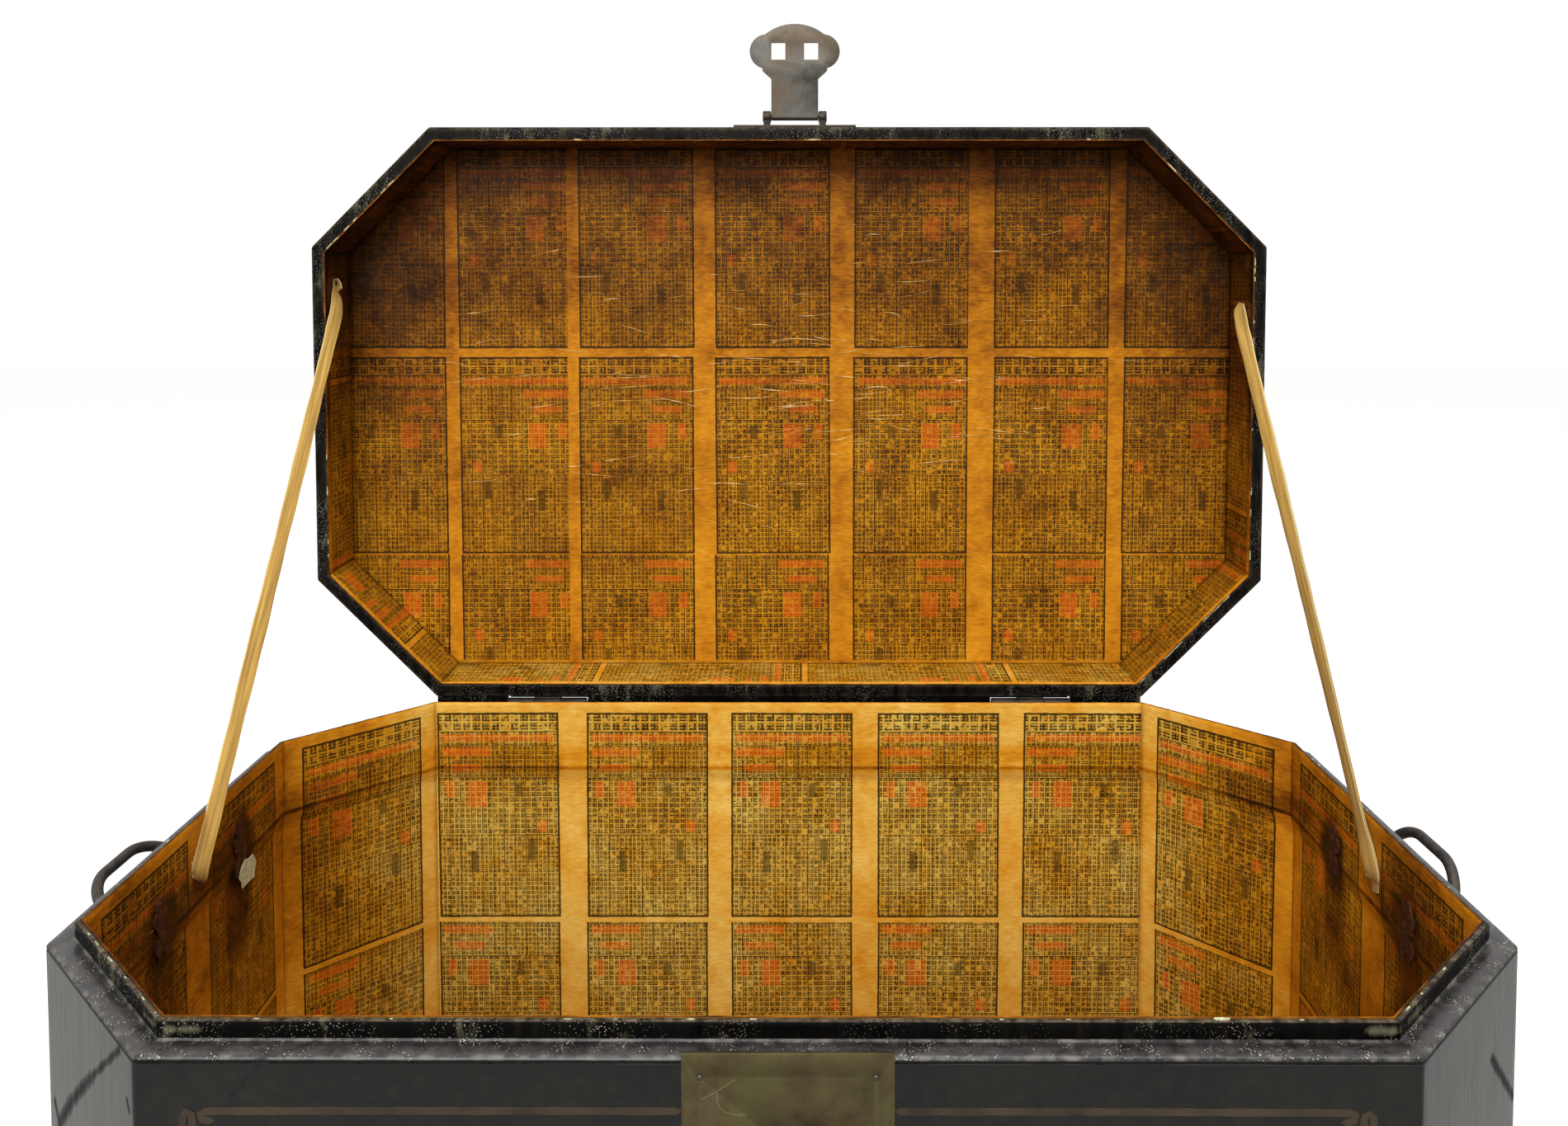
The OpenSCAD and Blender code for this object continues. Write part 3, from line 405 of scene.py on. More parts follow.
def printed_paper():
    """Mulberry paper block-printed with ruled tables of small marks, pasted in sheets and varnished.
    Amber where bare, olive where printed, with orange accents, brown staining and painted shade toward
    its edges, and the low, even gloss of old varnish."""
    material, tree, shader = new_finish("varnished printed paper", IOR=1.5, Specular_IOR_Level=0.06)
    place = add(tree, "TexCoord").outputs["Object"]
    age_and_shade = add(tree, "Attribute", attribute_name="age_and_shade").outputs["Fac"]
    flat = add(tree, "UVMap", uv_map="print_mm")
    number = add(tree, "UVMap", uv_map="print_no")
    # Printed lines wander by about 0.3 mm over 4 mm, as ink from a wooden block does
    wander = add(tree, "TexNoise", {"Vector": flat, "Scale": 0.25, "Detail": 1.0})
    drift = add(tree, "VectorMath", [wander.outputs["Color"], (0.5, 0.5, 0.5)], operation="SUBTRACT")
    shift = add(tree, "VectorMath", {0: drift, "Scale": 0.8}, operation="SCALE")
    sheet = add(tree, "VectorMath", [flat, shift], operation="ADD")
    down = add(tree, "SeparateXYZ", [sheet]).outputs[1]

    # Distance inside the frame line
    half_sheet = (SHEET_W / 2, SHEET_H / 2, 0)
    off = add(tree, "VectorMath", [sheet, half_sheet], operation="SUBTRACT")
    size = add(tree, "VectorMath", [off], operation="ABSOLUTE")
    left = add(tree, "VectorMath", [half_sheet, size], operation="SUBTRACT")
    parts = add(tree, "SeparateXYZ", [left])
    inside = add(tree, "Math", [parts.outputs[0], parts.outputs[1]], operation="MINIMUM")
    printed = add(tree, "Math", [inside, -0.7], operation="GREATER_THAN")

    # Ink takes unevenly, in patches about 25 mm across
    marks, far, cell_chance = cell_marks(tree, sheet, down, number)
    taking = add(tree, "TexNoise", {"Vector": place, "Scale": 40.0, "Detail": 4.0})
    strength = add(tree, "MapRange", [taking, 0.3, 0.7, 0.78, 1.0])
    inked = add(tree, "Math", [marks, strength], operation="MULTIPLY")
    thick = add(tree, "Math", [sheet_rules(tree, sheet, inside), 0.92], operation="MULTIPLY")
    half_dark = add(tree, "Math", [any_patch(tree, sheet, DARK_PATCHES), 0.62], operation="MULTIPLY")
    with_rules = add(tree, "Math", [inked, thick], operation="MAXIMUM")
    with_dark = add(tree, "Math", [with_rules, half_dark], operation="MAXIMUM")
    ink = add(tree, "Math", [with_dark, printed], operation="MULTIPLY")

    blotch = add(tree, "TexNoise", {"Vector": place, "Scale": 20.0, "Detail": 5.0, "Roughness": 0.6})
    shade = varnish_shade(tree, place, age_and_shade, blotch)
    bare = add(tree, "ValToRGB", [shade], stops=[
        (0.0, "#eac569"), (0.15, "#dcaa48"), (0.32, "#cf8a1c"), (0.5, "#ad6a11"),
        (0.68, "#75400a"), (0.85, "#3f1f06"), (1.0, "#1f0d03")])
    toned = add(tree, "Mix", {0: 1.0, 6: bare, 7: "#eef6ee"}, data_type="RGBA", blend_type="MULTIPLY")
    ground = add(tree, "Mix", {0: printed, 6: bare, 7: toned}, data_type="RGBA")
    # Orange ink fills the cells of its patches, deeper in some than in others
    red = any_patch(tree, sheet, RED_PATCHES)
    red_depth = add(tree, "MapRange", [cell_chance, 0.0, 1.0, 0.25, 0.8])
    faded = add(tree, "MapRange", [shade, 0.40, 0.68, 1.0, 0.15])
    red_left = add(tree, "Math", [red, faded], operation="MULTIPLY")
    red_share = add(tree, "Math", [red_left, red_depth], operation="MULTIPLY")
    in_cells = add(tree, "MapRange", [far, 0.40, 0.47, 1.0, 0.35])
    red_cells = add(tree, "Math", [red_share, in_cells], operation="MULTIPLY")
    red_printed = add(tree, "Math", [red_cells, printed], operation="MULTIPLY")
    red_aged = add(tree, "Mix", {0: age_and_shade, 6: "#ea7a24", 7: "#702a08"}, data_type="RGBA")
    reddened = add(tree, "Mix", {0: red_printed, 6: ground, 7: red_aged}, data_type="RGBA")
    ink_tone = add(tree, "Mix", {0: red_left, 6: "#1e1409", 7: "#a5350a"}, data_type="RGBA")
    inked_over = add(tree, "Mix", {0: ink, 6: reddened, 7: ink_tone}, data_type="RGBA")
    rough = add(tree, "MapRange", [blotch, 0.3, 0.7, 0.34, 0.55])
    lumps = add(tree, "Bump", {"Height": blotch, "Distance": 0.001, "Strength": 0.35})
    # Long shallow wrinkles, 5 mm apart, that run across the pasted sheets
    wrinkle_place = add(tree, "VectorMath", [place, (0.16, 0.16, 1.0)], operation="MULTIPLY")
    wrinkle = add(tree, "TexNoise", {"Vector": wrinkle_place, "Scale": 200.0, "Detail": 3.0,
                                     "Distortion": 0.6})
    wrinkled = add(tree, "Bump", {"Height": wrinkle, "Distance": 0.0007, "Strength": 0.45,
                                  "Normal": lumps})
    feed(tree, shader, {"Base Color": inked_over, "Roughness": rough, "Normal": wrinkled})
    return material


def old_brass(name, tones, clouds, cloud_share, scratches=()):
    """Hammered sheet brass left to tarnish: a brown skin mottled over 17 mm, with soft clouds of
    another brown over 33 mm, dark spots of 4 mm, shallow dents and a few bright scratches."""
    material, tree, shader = new_finish(name, Metallic=1.0)
    place = add(tree, "TexCoord").outputs["Object"]
    mottle = add(tree, "TexNoise", {"Vector": place, "Scale": 60.0, "Detail": 6.0, "Roughness": 0.65})
    tone = add(tree, "ValToRGB", [mottle], stops=list(zip((0.3, 0.5, 0.75), tones)))
    cloud_noise = add(tree, "TexNoise", {"Vector": place, "Scale": 30.0, "Detail": 4.0})
    cloud = add(tree, "MapRange", [cloud_noise, 0.44, 0.66, 0.0, cloud_share])
    shaded = add(tree, "Mix", {0: cloud, 6: tone, 7: clouds}, data_type="RGBA")
    spot_noise = add(tree, "TexNoise", {"Vector": place, "Scale": 240.0, "Detail": 3.0})
    spot = add(tree, "MapRange", [spot_noise, 0.58, 0.72, 0.0, 0.35])
    shaded = add(tree, "Mix", {0: spot, 6: shaded, 7: tones[0]}, data_type="RGBA")
    for start, end, width in scratches:
        line = near_line(tree, place, start, end, width)
        share = add(tree, "MapRange", [line, 0.3, 0.9, 0.0, 0.55])
        shaded = add(tree, "Mix", {0: share, 6: shaded, 7: "#a09478"}, data_type="RGBA")
    rough = add(tree, "MapRange", [mottle, 0.3, 0.7, 0.42, 0.6])
    dents = add(tree, "TexNoise", {"Vector": place, "Scale": 90.0, "Detail": 2.0})
    bump = add(tree, "Bump", {"Height": dents, "Distance": 0.0008, "Strength": 0.3})
    feed(tree, shader, {"Base Color": shaded, "Roughness": rough, "Normal": bump})
    return material


def old_iron():
    """Forged iron gone brown with old rust in patches of 6 mm: dark, dry and lightly pitted."""
    material, tree, shader = new_finish("rusted forged iron", Metallic=0.7)
    place = add(tree, "TexCoord").outputs["Object"]
    rust = add(tree, "TexNoise", {"Vector": place, "Scale": 160.0, "Detail": 6.0, "Roughness": 0.7})
    tone = add(tree, "ValToRGB", [rust], stops=[
        (0.3, "#2c2927"), (0.5, "#45403c"), (0.65, "#564a40"), (0.8, "#6b5140")])
    rough = add(tree, "MapRange", [rust, 0.3, 0.7, 0.45, 0.75])
    # Pits are drawn 1.4 mm across, coarser than real ones
    pits = add(tree, "TexNoise", {"Vector": place, "Scale": 700.0, "Detail": 2.0})
    bump = add(tree, "Bump", {"Height": pits, "Distance": 0.0004, "Strength": 0.5})
    feed(tree, shader, {"Base Color": tone, "Roughness": rough, "Normal": bump})
    return material


def rust():
    """Iron rusted through its black skin: dark red-brown, crusted over 5 mm and without shine."""
    material, tree, shader = new_finish("heavily rusted iron", Specular_IOR_Level=0.2)
    place = add(tree, "TexCoord").outputs["Object"]
    crust = add(tree, "TexNoise", {"Vector": place, "Scale": 220.0, "Detail": 6.0, "Roughness": 0.7})
    tone = add(tree, "ValToRGB", [crust], stops=[(0.3, "#140a05"), (0.5, "#321708"), (0.7, "#6a3410")])
    rough = add(tree, "MapRange", [crust, 0.3, 0.7, 0.5, 0.85])
    bump = add(tree, "Bump", {"Height": crust, "Distance": 0.0012, "Strength": 0.9})
    feed(tree, shader, {"Base Color": tone, "Roughness": rough, "Normal": bump})
    return material


# Width of the tape before it is folded
TAPE_FLAT_W = 20.8


def cotton_tape():
    """Flat-woven cotton tape gone yellow: a dull weave with a fine rib, pale selvedges, soil in
    streaks along it and a faint sheen."""
    material, tree, shader = new_finish("woven cotton tape", Roughness=0.85, Sheen_Weight=0.06,
                                        Sheen_Roughness=0.5)
    flat = add(tree, "UVMap", uv_map="tape_mm")
    # Threads are 0.5 mm apart in the real tape and are drawn 0.9 mm apart
    rib = add(tree, "TexWave", {"Vector": flat, "Scale": 0.35, "Distortion": 0.5, "Detail": 1.0},
              bands_direction="Y")
    warp = add(tree, "TexWave", {"Vector": flat, "Scale": 0.35, "Distortion": 0.5, "Detail": 1.0},
               bands_direction="X")
    weave = add(tree, "Math", [rib.outputs["Fac"], warp.outputs["Fac"]], operation="MULTIPLY")
    # Soil lies in streaks along the tape, 2 mm wide and some 60 mm long
    long_way = add(tree, "VectorMath", [flat, (0.5, 0.016, 1.0)], operation="MULTIPLY")
    soil = add(tree, "TexNoise", {"Vector": long_way, "Scale": 1.0, "Detail": 4.0})
    tone = add(tree, "ValToRGB", [soil], stops=[(0.3, "#94702c"), (0.5, "#b08739"), (0.7, "#c8a04d")])
    # The selvedges at both sides of the flat tape are pale
    across = add(tree, "SeparateXYZ", [flat]).outputs[0]
    off = add(tree, "Math", [across, TAPE_FLAT_W / 2], operation="SUBTRACT")
    edge = add(tree, "Math", [off], operation="ABSOLUTE")
    selvedge = add(tree, "MapRange", [edge, TAPE_FLAT_W / 2 - 1.1, TAPE_FLAT_W / 2 - 0.6, 0.0, 0.6])
    edged = add(tree, "Mix", {0: selvedge, 6: tone, 7: "#ecd79a"}, data_type="RGBA")
    thread = add(tree, "MapRange", [weave, 0.0, 1.0, 0.78, 1.05])
    woven = add(tree, "VectorMath", {0: edged, "Scale": thread.outputs[0]}, operation="SCALE")
    bump = add(tree, "Bump", {"Height": weave, "Distance": 0.0004, "Strength": 0.6})
    feed(tree, shader, {"Base Color": woven, "Normal": bump})
    return material


def painted_line():
    """A line of brownish red lacquer laid on with a brush: darker where it is thin, in patches of
    18 mm, and softer in gloss than the black under it."""
    material, tree, shader = new_finish("red-brown lacquer line", IOR=1.45, Specular_IOR_Level=0.4)
    place = add(tree, "TexCoord").outputs["Object"]
    thin = add(tree, "TexNoise", {"Vector": place, "Scale": 55.0, "Detail": 5.0})
    tone = add(tree, "ValToRGB", [thin], stops=[(0.3, "#211a11"), (0.5, "#33281b"), (0.75, "#403222")])
    rough = add(tree, "MapRange", [thin, 0.3, 0.7, 0.22, 0.36])
    feed(tree, shader, {"Base Color": tone, "Roughness": rough})
    return material


def creased_paper():
    """The crest of a fold in the paper, where the varnish is rubbed and a highlight is painted in: amber,
    paler in patches of 11 mm.
    """
    material, tree, shader = new_finish("creased varnished paper", Roughness=0.4, IOR=1.5,
                                        Specular_IOR_Level=0.3)
    place = add(tree, "TexCoord").outputs["Object"]
    rubbed = add(tree, "TexNoise", {"Vector": place, "Scale": 90.0, "Detail": 4.0})
    tone = add(tree, "ValToRGB", [rubbed], stops=[
        (0.35, "#9a6a24"), (0.5, "#d2a251"), (0.62, "#f0d7a0")])
    feed(tree, shader, {"Base Color": tone})
    return material


def torn_paper():
    """The unvarnished inside of torn paper: pale, dry and fibrous."""
    material, tree, shader = new_finish("torn paper", Roughness=0.9)
    place = add(tree, "TexCoord").outputs["Object"]
    # Fibres are drawn 2 mm wide, coarser than real ones
    fibre = add(tree, "TexNoise", {"Vector": place, "Scale": 500.0, "Detail": 4.0})
    tone = add(tree, "ValToRGB", [fibre], stops=[(0.3, "#8f8a60"), (0.55, "#bfbf98"), (0.8, "#dedfc2")])
    bump = add(tree, "Bump", {"Height": fibre, "Distance": 0.0003, "Strength": 0.5})
    feed(tree, shader, {"Base Color": tone, "Normal": bump})
    return material


# Scratches on the lock plate: width, and the (x, z) places that each goes through
PLATE_SCRATCHES = [
    (0.7, [(-35, 306.3), (-29.5, 309), (-19.5, 315.6)]),
    (0.6, [(-27.6, 309), (-28, 305.5), (-26.8, 302.4), (-24, 300), (-19.5, 298.7)]),
    (0.5, [(-19.5, 298.7), (-14, 298.8)])]
plate_front = -SIDE_Y - PLATE_T
plate_lines = [((x0, plate_front, z0), (x1, plate_front, z1), width) for width, line in PLATE_SCRATCHES
               for (x0, z0), (x1, z1) in zip(line, line[1:])]

LACQUER = black_lacquer()
LIP_WOOD = lip_wood()
PRINTED = printed_paper()
BRASS = old_brass("tarnished brass, grey brown", ("#3a3834", "#53504a", "#6b675f"), "#55483a", 0.8)
PLATE_BRASS = old_brass("tarnished brass, olive", ("#443c2b", "#564c36", "#665a41"), "#5b5a36", 0.6,
                        plate_lines)
DARK_BRASS = old_brass("tarnished brass, dark", ("#2b2723", "#3d3832", "#524b42"), "#3a2f28", 0.6)
IRON = old_iron()
RUST = rust()
TAPE = cotton_tape()
RED_LINE = painted_line()
TORN = torn_paper()
CREASED = creased_paper()


# Ways to make pieces


def finished(name, mesh, finish, sharp):
    """A piece from its mesh, with its finish on, shaded smooth up to an angle of sharp degrees."""
    mesh.materials.clear()
    mesh.materials.append(finish)
    mesh.shade_smooth()
    mesh.set_sharp_from_angle(angle=math.radians(sharp))
    piece = bpy.data.objects.new(name, mesh)
    bpy.context.scene.collection.objects.link(piece)
    return piece


def make(name, verts, faces, finish, body, stands_for=(), sharp=35.0, values=()):
    """A mesh in millimetres as a piece that rides on a body. values are lists for its vertices."""
    mesh = bpy.data.meshes.new(name)
    mesh.from_pydata((np.asarray(verts, float) * MM).tolist(), [], [tuple(f) for f in faces])
    for key, numbers in dict(values).items():
        mesh.attributes.new(key, "FLOAT", "POINT").data.foreach_set(
            "value", np.asarray(numbers, np.float32))
    piece = finished(name, mesh, finish, sharp)
    if body:
        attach(piece, body)
    if stands_for:
        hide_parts(*stands_for)
    return piece


def ring_faces(rings, count, base=0):
    """Faces between rings of count vertices, numbered from base, and over their two ends."""
    faces = []
    for i in range(rings - 1):
        a, b = base + i * count, base + (i + 1) * count
        for k in range(count):
            n = (k + 1) % count
            faces.append((a + k, a + n, b + n, b + k))
    faces.append([base + k for k in reversed(range(count))])
    faces.append([base + (rings - 1) * count + k for k in range(count)])
    return faces


def loft(name, groups, finish, body, stands_for=(), sharp=35.0):
    """Solids through closed loops of places, one solid for each group, all in one piece."""
    verts, faces = [], []
    for loops in groups:
        faces += ring_faces(len(loops), len(loops[0]), len(verts))
        verts += [tuple(place) for loop in loops for place in loop]
    return make(name, verts, faces, finish, body, stands_for, sharp)


def rounded(points, rounds=3):
    """A line of places with its corners cut again and again, its ends kept."""
    line = np.array(points, float)
    for _ in range(rounds):
        cut = [line[0]]
        for a, b in zip(line, line[1:]):
            cut += [a * 0.75 + b * 0.25, a * 0.25 + b * 0.75]
        line = np.array(cut + [line[-1]])
    return line


def spaced(line, step):
    """A line of places with a place about every step millimetres, and how far along each lies."""
    line = np.array(line, float)
    run = np.concatenate([[0], np.cumsum(np.linalg.norm(np.diff(line, axis=0), axis=1))])
    at = np.linspace(0, run[-1], max(int(run[-1] / step), 2) + 1)
    return np.stack([np.interp(at, run, line[:, i]) for i in range(line.shape[1])], -1), at


def way_at(line, i):
    """The way that a line of places runs at one of them."""
    way = line[min(i + 1, len(line) - 1)] - line[max(i - 1, 0)]
    return way / np.linalg.norm(way)


def grid_faces(rows, columns, closed_rows=False):
    """Quads between a grid's vertices, row by row. Closed rows join the last one to the first."""
    faces = []
    for i in range(rows if closed_rows else rows - 1):
        j = (i + 1) % rows
        for k in range(columns - 1):
            faces.append((i * columns + k, i * columns + k + 1, j * columns + k + 1, j * columns + k))
    return faces


# Lacquered boards


def side_stations(side, depth, straight):
    """Points along one side at a depth, from the middle of one rounded corner to the middle of
    the next, and the angle that each faces. straight has the shares of the run between them."""
    r = max(CORNER_R - depth, 0.25)
    middles = plan(depth + r)
    facing = math.radians(45 * side - 90)
    first = [facing + math.radians(a) for a in (-22.5, -15, -7.5, 0)]
    last = [facing + math.radians(a) for a in (0, 7.5, 15, 22.5)]
    a, b = middles[side], middles[(side + 1) % 8]
    start = [a + r * np.array([math.cos(t), math.sin(t)]) for t in first]
    end = [b + r * np.array([math.cos(t), math.sin(t)]) for t in last]
    between = [start[-1] + (end[0] - start[-1]) * f for f in straight[1:-1]]
    return np.array(start + between + end), first + [facing] * (len(straight) - 2) + last


def side_board(name, side, profile, finish, body, stands_for, lid=False, rim=None):
    """A lacquered board along one side: a closed profile of (depth, height, dust, wear and painted
    highlight, ripple) swept from mitre to mitre, so that its neighbours meet it. A rim finish goes on the
    bands of the profile that lie on the lid's rim."""
    # Taken backward, the profile gives faces that look outward
    profile = profile[::-1]
    straight = np.linspace(0, 1, int(side_run(side, 0)[0] / 7) + 2)
    verts, dust, wear_and_highlight = [], [], []
    count = len(profile)
    for i, (depth, z, dusty, worn_and_highlit, ripple) in enumerate(profile):
        d0, z0 = profile[i - 1][:2]
        d1, z1 = profile[(i + 1) % count][:2]
        out, up = z1 - z0, d1 - d0
        size = math.hypot(out, up) or 1.0
        points, facing = side_stations(side, depth, straight)
        for (x, y), t in zip(points, facing):
            # Hand-planed wood ripples over 9 and 45 mm
            push = ripple * (0.7 * wavy((x, y, z), 9) + 0.5 * wavy((x, y, z), 45, 3.1))
            verts.append((x + math.cos(t) * push * out / size, y + math.sin(t) * push * out / size,
                          z + push * up / size))
            dust.append(dusty)
            wear_and_highlight.append(worn_and_highlit)
    columns = len(points)
    faces = grid_faces(count, columns, True)
    faces.append([i * columns for i in range(count)])
    faces.append([i * columns + columns - 1 for i in reversed(range(count))])
    board = make(name, opened(verts) if lid else verts, faces, finish, body,
                 stands_for, values={"dust": dust, "wear_and_highlight": wear_and_highlight})
    if rim:
        board.data.materials.append(rim)
        for face in board.data.polygons:
            heights = [profile[v // columns][1] for v in face.vertices]
            if len(heights) == 4 and max(heights) < RIM_Z + 2.9:
                face.material_index = 1


# The profiles of the body and the lip run up the outside, over the top and down the inside, and
# the lid's down the inside, over the rim and up the outside
# The wear values along the ledge's outer edge and next to the lip paint pale lines that partly stand for
# the highlights there
def body_profile(dusty):
    """Body board with a seam under its ledge. dusty is the dust on the outer part of the ledge."""
    return ([(0, BOTTOM_T, 0, 0, 0)]
            + [(0, z, 0, 0.03, 0.10) for z in (30, 60, 95, 130, 165, 200, 235, 270, 300, 316)]
            + [(0, 321.6, 0, 0, 0.06), (0.9, 322.1, -1, 0, 0), (0.9, 322.7, -1, 0, 0),
               (0.05, 323.2, 0.1, 0.3, 0.08), (0.4, 324.2, 0.3, 0.9, 0.12), (1.1, 324.8, 0.6, 0.9, 0.12),
               (2.2, BODY_H, dusty, 0.35, 0.12), (4.5, BODY_H, dusty, 0.1, 0.12),
               (7, BODY_H, dusty, 0.1, 0.12), (9.5, BODY_H - 0.3, 0.4, 0.1, 0.12),
               (11.6, BODY_H - 0.3, 0.3, 0.2, 0.12), (12.5, BODY_H - 0.2, 0.3, 1, 0.1),
               (WALL_T, BODY_H + 0.9, 0.2, 1, 0.05), (WALL_T, BOTTOM_T, 0, 0, 0)])


# The wear at the lip's foot paints a pale line along its joint with the ledge: partly a glue fillet and
# partly a painted highlight
LIP_PROFILE = [
    (WALL_T, LIP_FOOT, 0, 0, 0), (WALL_T, BODY_H - 1, 0, 0.6, 0),
    (WALL_T, BODY_H + 0.5, 0, 0.7, 0.1), (WALL_T, BODY_H + 0.9, 0, 0, 0.1),
    (WALL_T, BODY_H + 4, 0, 0, 0.15), (WALL_T, BODY_H + 7, 0, 0, 0.15),
    (WALL_T + 0.2, LIP_TOP - 0.8, 0, 0, 0.2), (WALL_T + 0.6, LIP_TOP - 0.3, 0, 0.6, 0.2),
    (WALL_T + 1.4, LIP_TOP, 0, 0.5, 0.15), (WALL_T + 2.6, LIP_TOP - 0.1, 0, 0.6, 0.1),
    (WALL_T + LIP_T, LIP_TOP - 0.5, 0, 1, 0), (WALL_T + LIP_T, LIP_FOOT, 0, 0, 0)]
LID_PROFILE = (
    [(LID_IN, LID_TOP_IN, 0, 0, 0), (LID_IN, 330, 0, 0, 0), (LID_IN, 326.4, 0, 0.4, 0.1),
     (LID_IN - 0.4, 325.6, 0.1, 0.5, 0.15), (LID_IN - 1.2, RIM_Z, 0.12, 0.15, 0.15),
     (8.5, RIM_Z, 0.12, 0.03, 0.15), (6, RIM_Z, 0.12, 0.03, 0.15), (3.8, RIM_Z, 0.12, 0.03, 0.15),
     (2.0, RIM_Z + 0.3, 0.12, 0.2, 0.15), (0.9, RIM_Z + 1.2, 0.1, 0.4, 0.15),
     (LID_OUT, RIM_Z + 2.8, 0.05, 0.2, 0.12)]
    + [(LID_OUT, z, 0, 0.05, 0.1) for z in (334, 346, 358, 370)]
    + [(LID_OUT, LID_TOP_IN, 0, 0.05, 0.08)])

for number, side in enumerate(SIDES):
    ledge_dust = 0.8 if side == "front" else 0.65
    side_board(side + "_wall_lacquered", number, body_profile(ledge_dust), LACQUER, "body",
               [side + "_wall"])
    side_board(side + "_lip_board", number, LIP_PROFILE, LIP_WOOD, "body", [side + "_lip"])
    side_board("lid_" + side + "_wall_lacquered", number, LID_PROFILE, LACQUER, "lid",
               ["lid_" + side + "_wall"], lid=True, rim=LIP_WOOD)


def slab(name, rings, body, stands_for, lid=False):
    """An eight-sided lacquered board from rings of (depth, height, dust, wear and painted highlight),
    with its first and last ring filled."""
    verts, dust, wear_and_highlight = [], [], []
    for depth, z, dusty, worn_and_highlit in rings:
        ring = []
        for side in range(8):
            points, _ = side_stations(side, depth, np.linspace(0, 1, 13))
            ring += [(x, y) for x, y in points[:-1]]
        for x, y in ring:
            verts.append((x, y, z + 0.08 * wavy((x, y, z), 60, 5.0)))
            dust.append(dusty)
            wear_and_highlight.append(worn_and_highlit)
    make(name, opened(verts) if lid else verts, ring_faces(len(rings), len(ring)), LACQUER, body,
         stands_for, values={"dust": dust, "wear_and_highlight": wear_and_highlight})


slab("lid_top_lacquered",
     [(LID_OUT, LID_TOP_IN, 0, 0.05), (LID_OUT, 390.4, 0, 0.3), (0.7, 391.8, 0, 0.7),
      (1.7, 392.8, 0, 0.7), (3.2, LID_TOP, 0, 0.3), (12, LID_TOP, 0, 0.05), (40, LID_TOP, 0, 0),
      (80, LID_TOP, 0, 0), (120, LID_TOP, 0, 0), (155, LID_TOP, 0, 0)],
     "lid", ["lid_top_board"], lid=True)
slab("bottom_board_lacquered",
     [(150, 0, 0, 0), (60, 0, 0, 0), (3, 0, 0, 0.2), (1.2, 0.4, 0, 0.8), (0.3, 1.4, 0, 0.8),
      (0, 3, 0, 0.4), (0, BOTTOM_T, 0, 0.05)],
     "body", ["bottom_board"])


# Paper lining

# A printed sheet on a panel: the rectangle that shows, in the panel's millimetres, and the
# sheet's own millimetres across and down at its upper left corner
Sheet = namedtuple("Sheet", "left right bottom top across down")
# Each sheet has a number, which sets its marks
SHEET_NUMBERS = itertools.count(1)
# Thickness of the pasted paper, and a place on no sheet, where paper stays bare
PASTED_T = 0.35
OFF_SHEET = (-40.0, -40.0)


def between(edges, step):
    """Grid lines at the given edges, with more between them so that none is wider than step."""
    lines = []
    for a, b in zip(edges, edges[1:]):
        lines += list(np.linspace(a, b, max(int(math.ceil((b - a) / step)), 1) + 1)[:-1])
    return lines + [edges[-1]]


def panel_lines(low, high, edges, step):
    """Grid lines from one end of a panel to the other, with one at each sheet's edge."""
    return between(sorted({low, high} | {edge for edge in edges if low < edge < high}), step)


def sides_of(sheets):
    """The left and right edges of sheets."""
    return [edge for sheet in sheets for edge in (sheet.left, sheet.right)]


def ends_of(sheets):
    """The lower and upper edges of sheets."""
    return [edge for sheet in sheets for edge in (sheet.bottom, sheet.top)]


def sheets_across(length, count, first=None):
    """Starts of a row of sheets, spread evenly over a length."""
    if first is None:
        first = (length - count * SHEET_W) / (count + 1)
    return [first + i * (SHEET_W + (length - 2 * first - count * SHEET_W) / max(count - 1, 1))
            for i in range(count)]


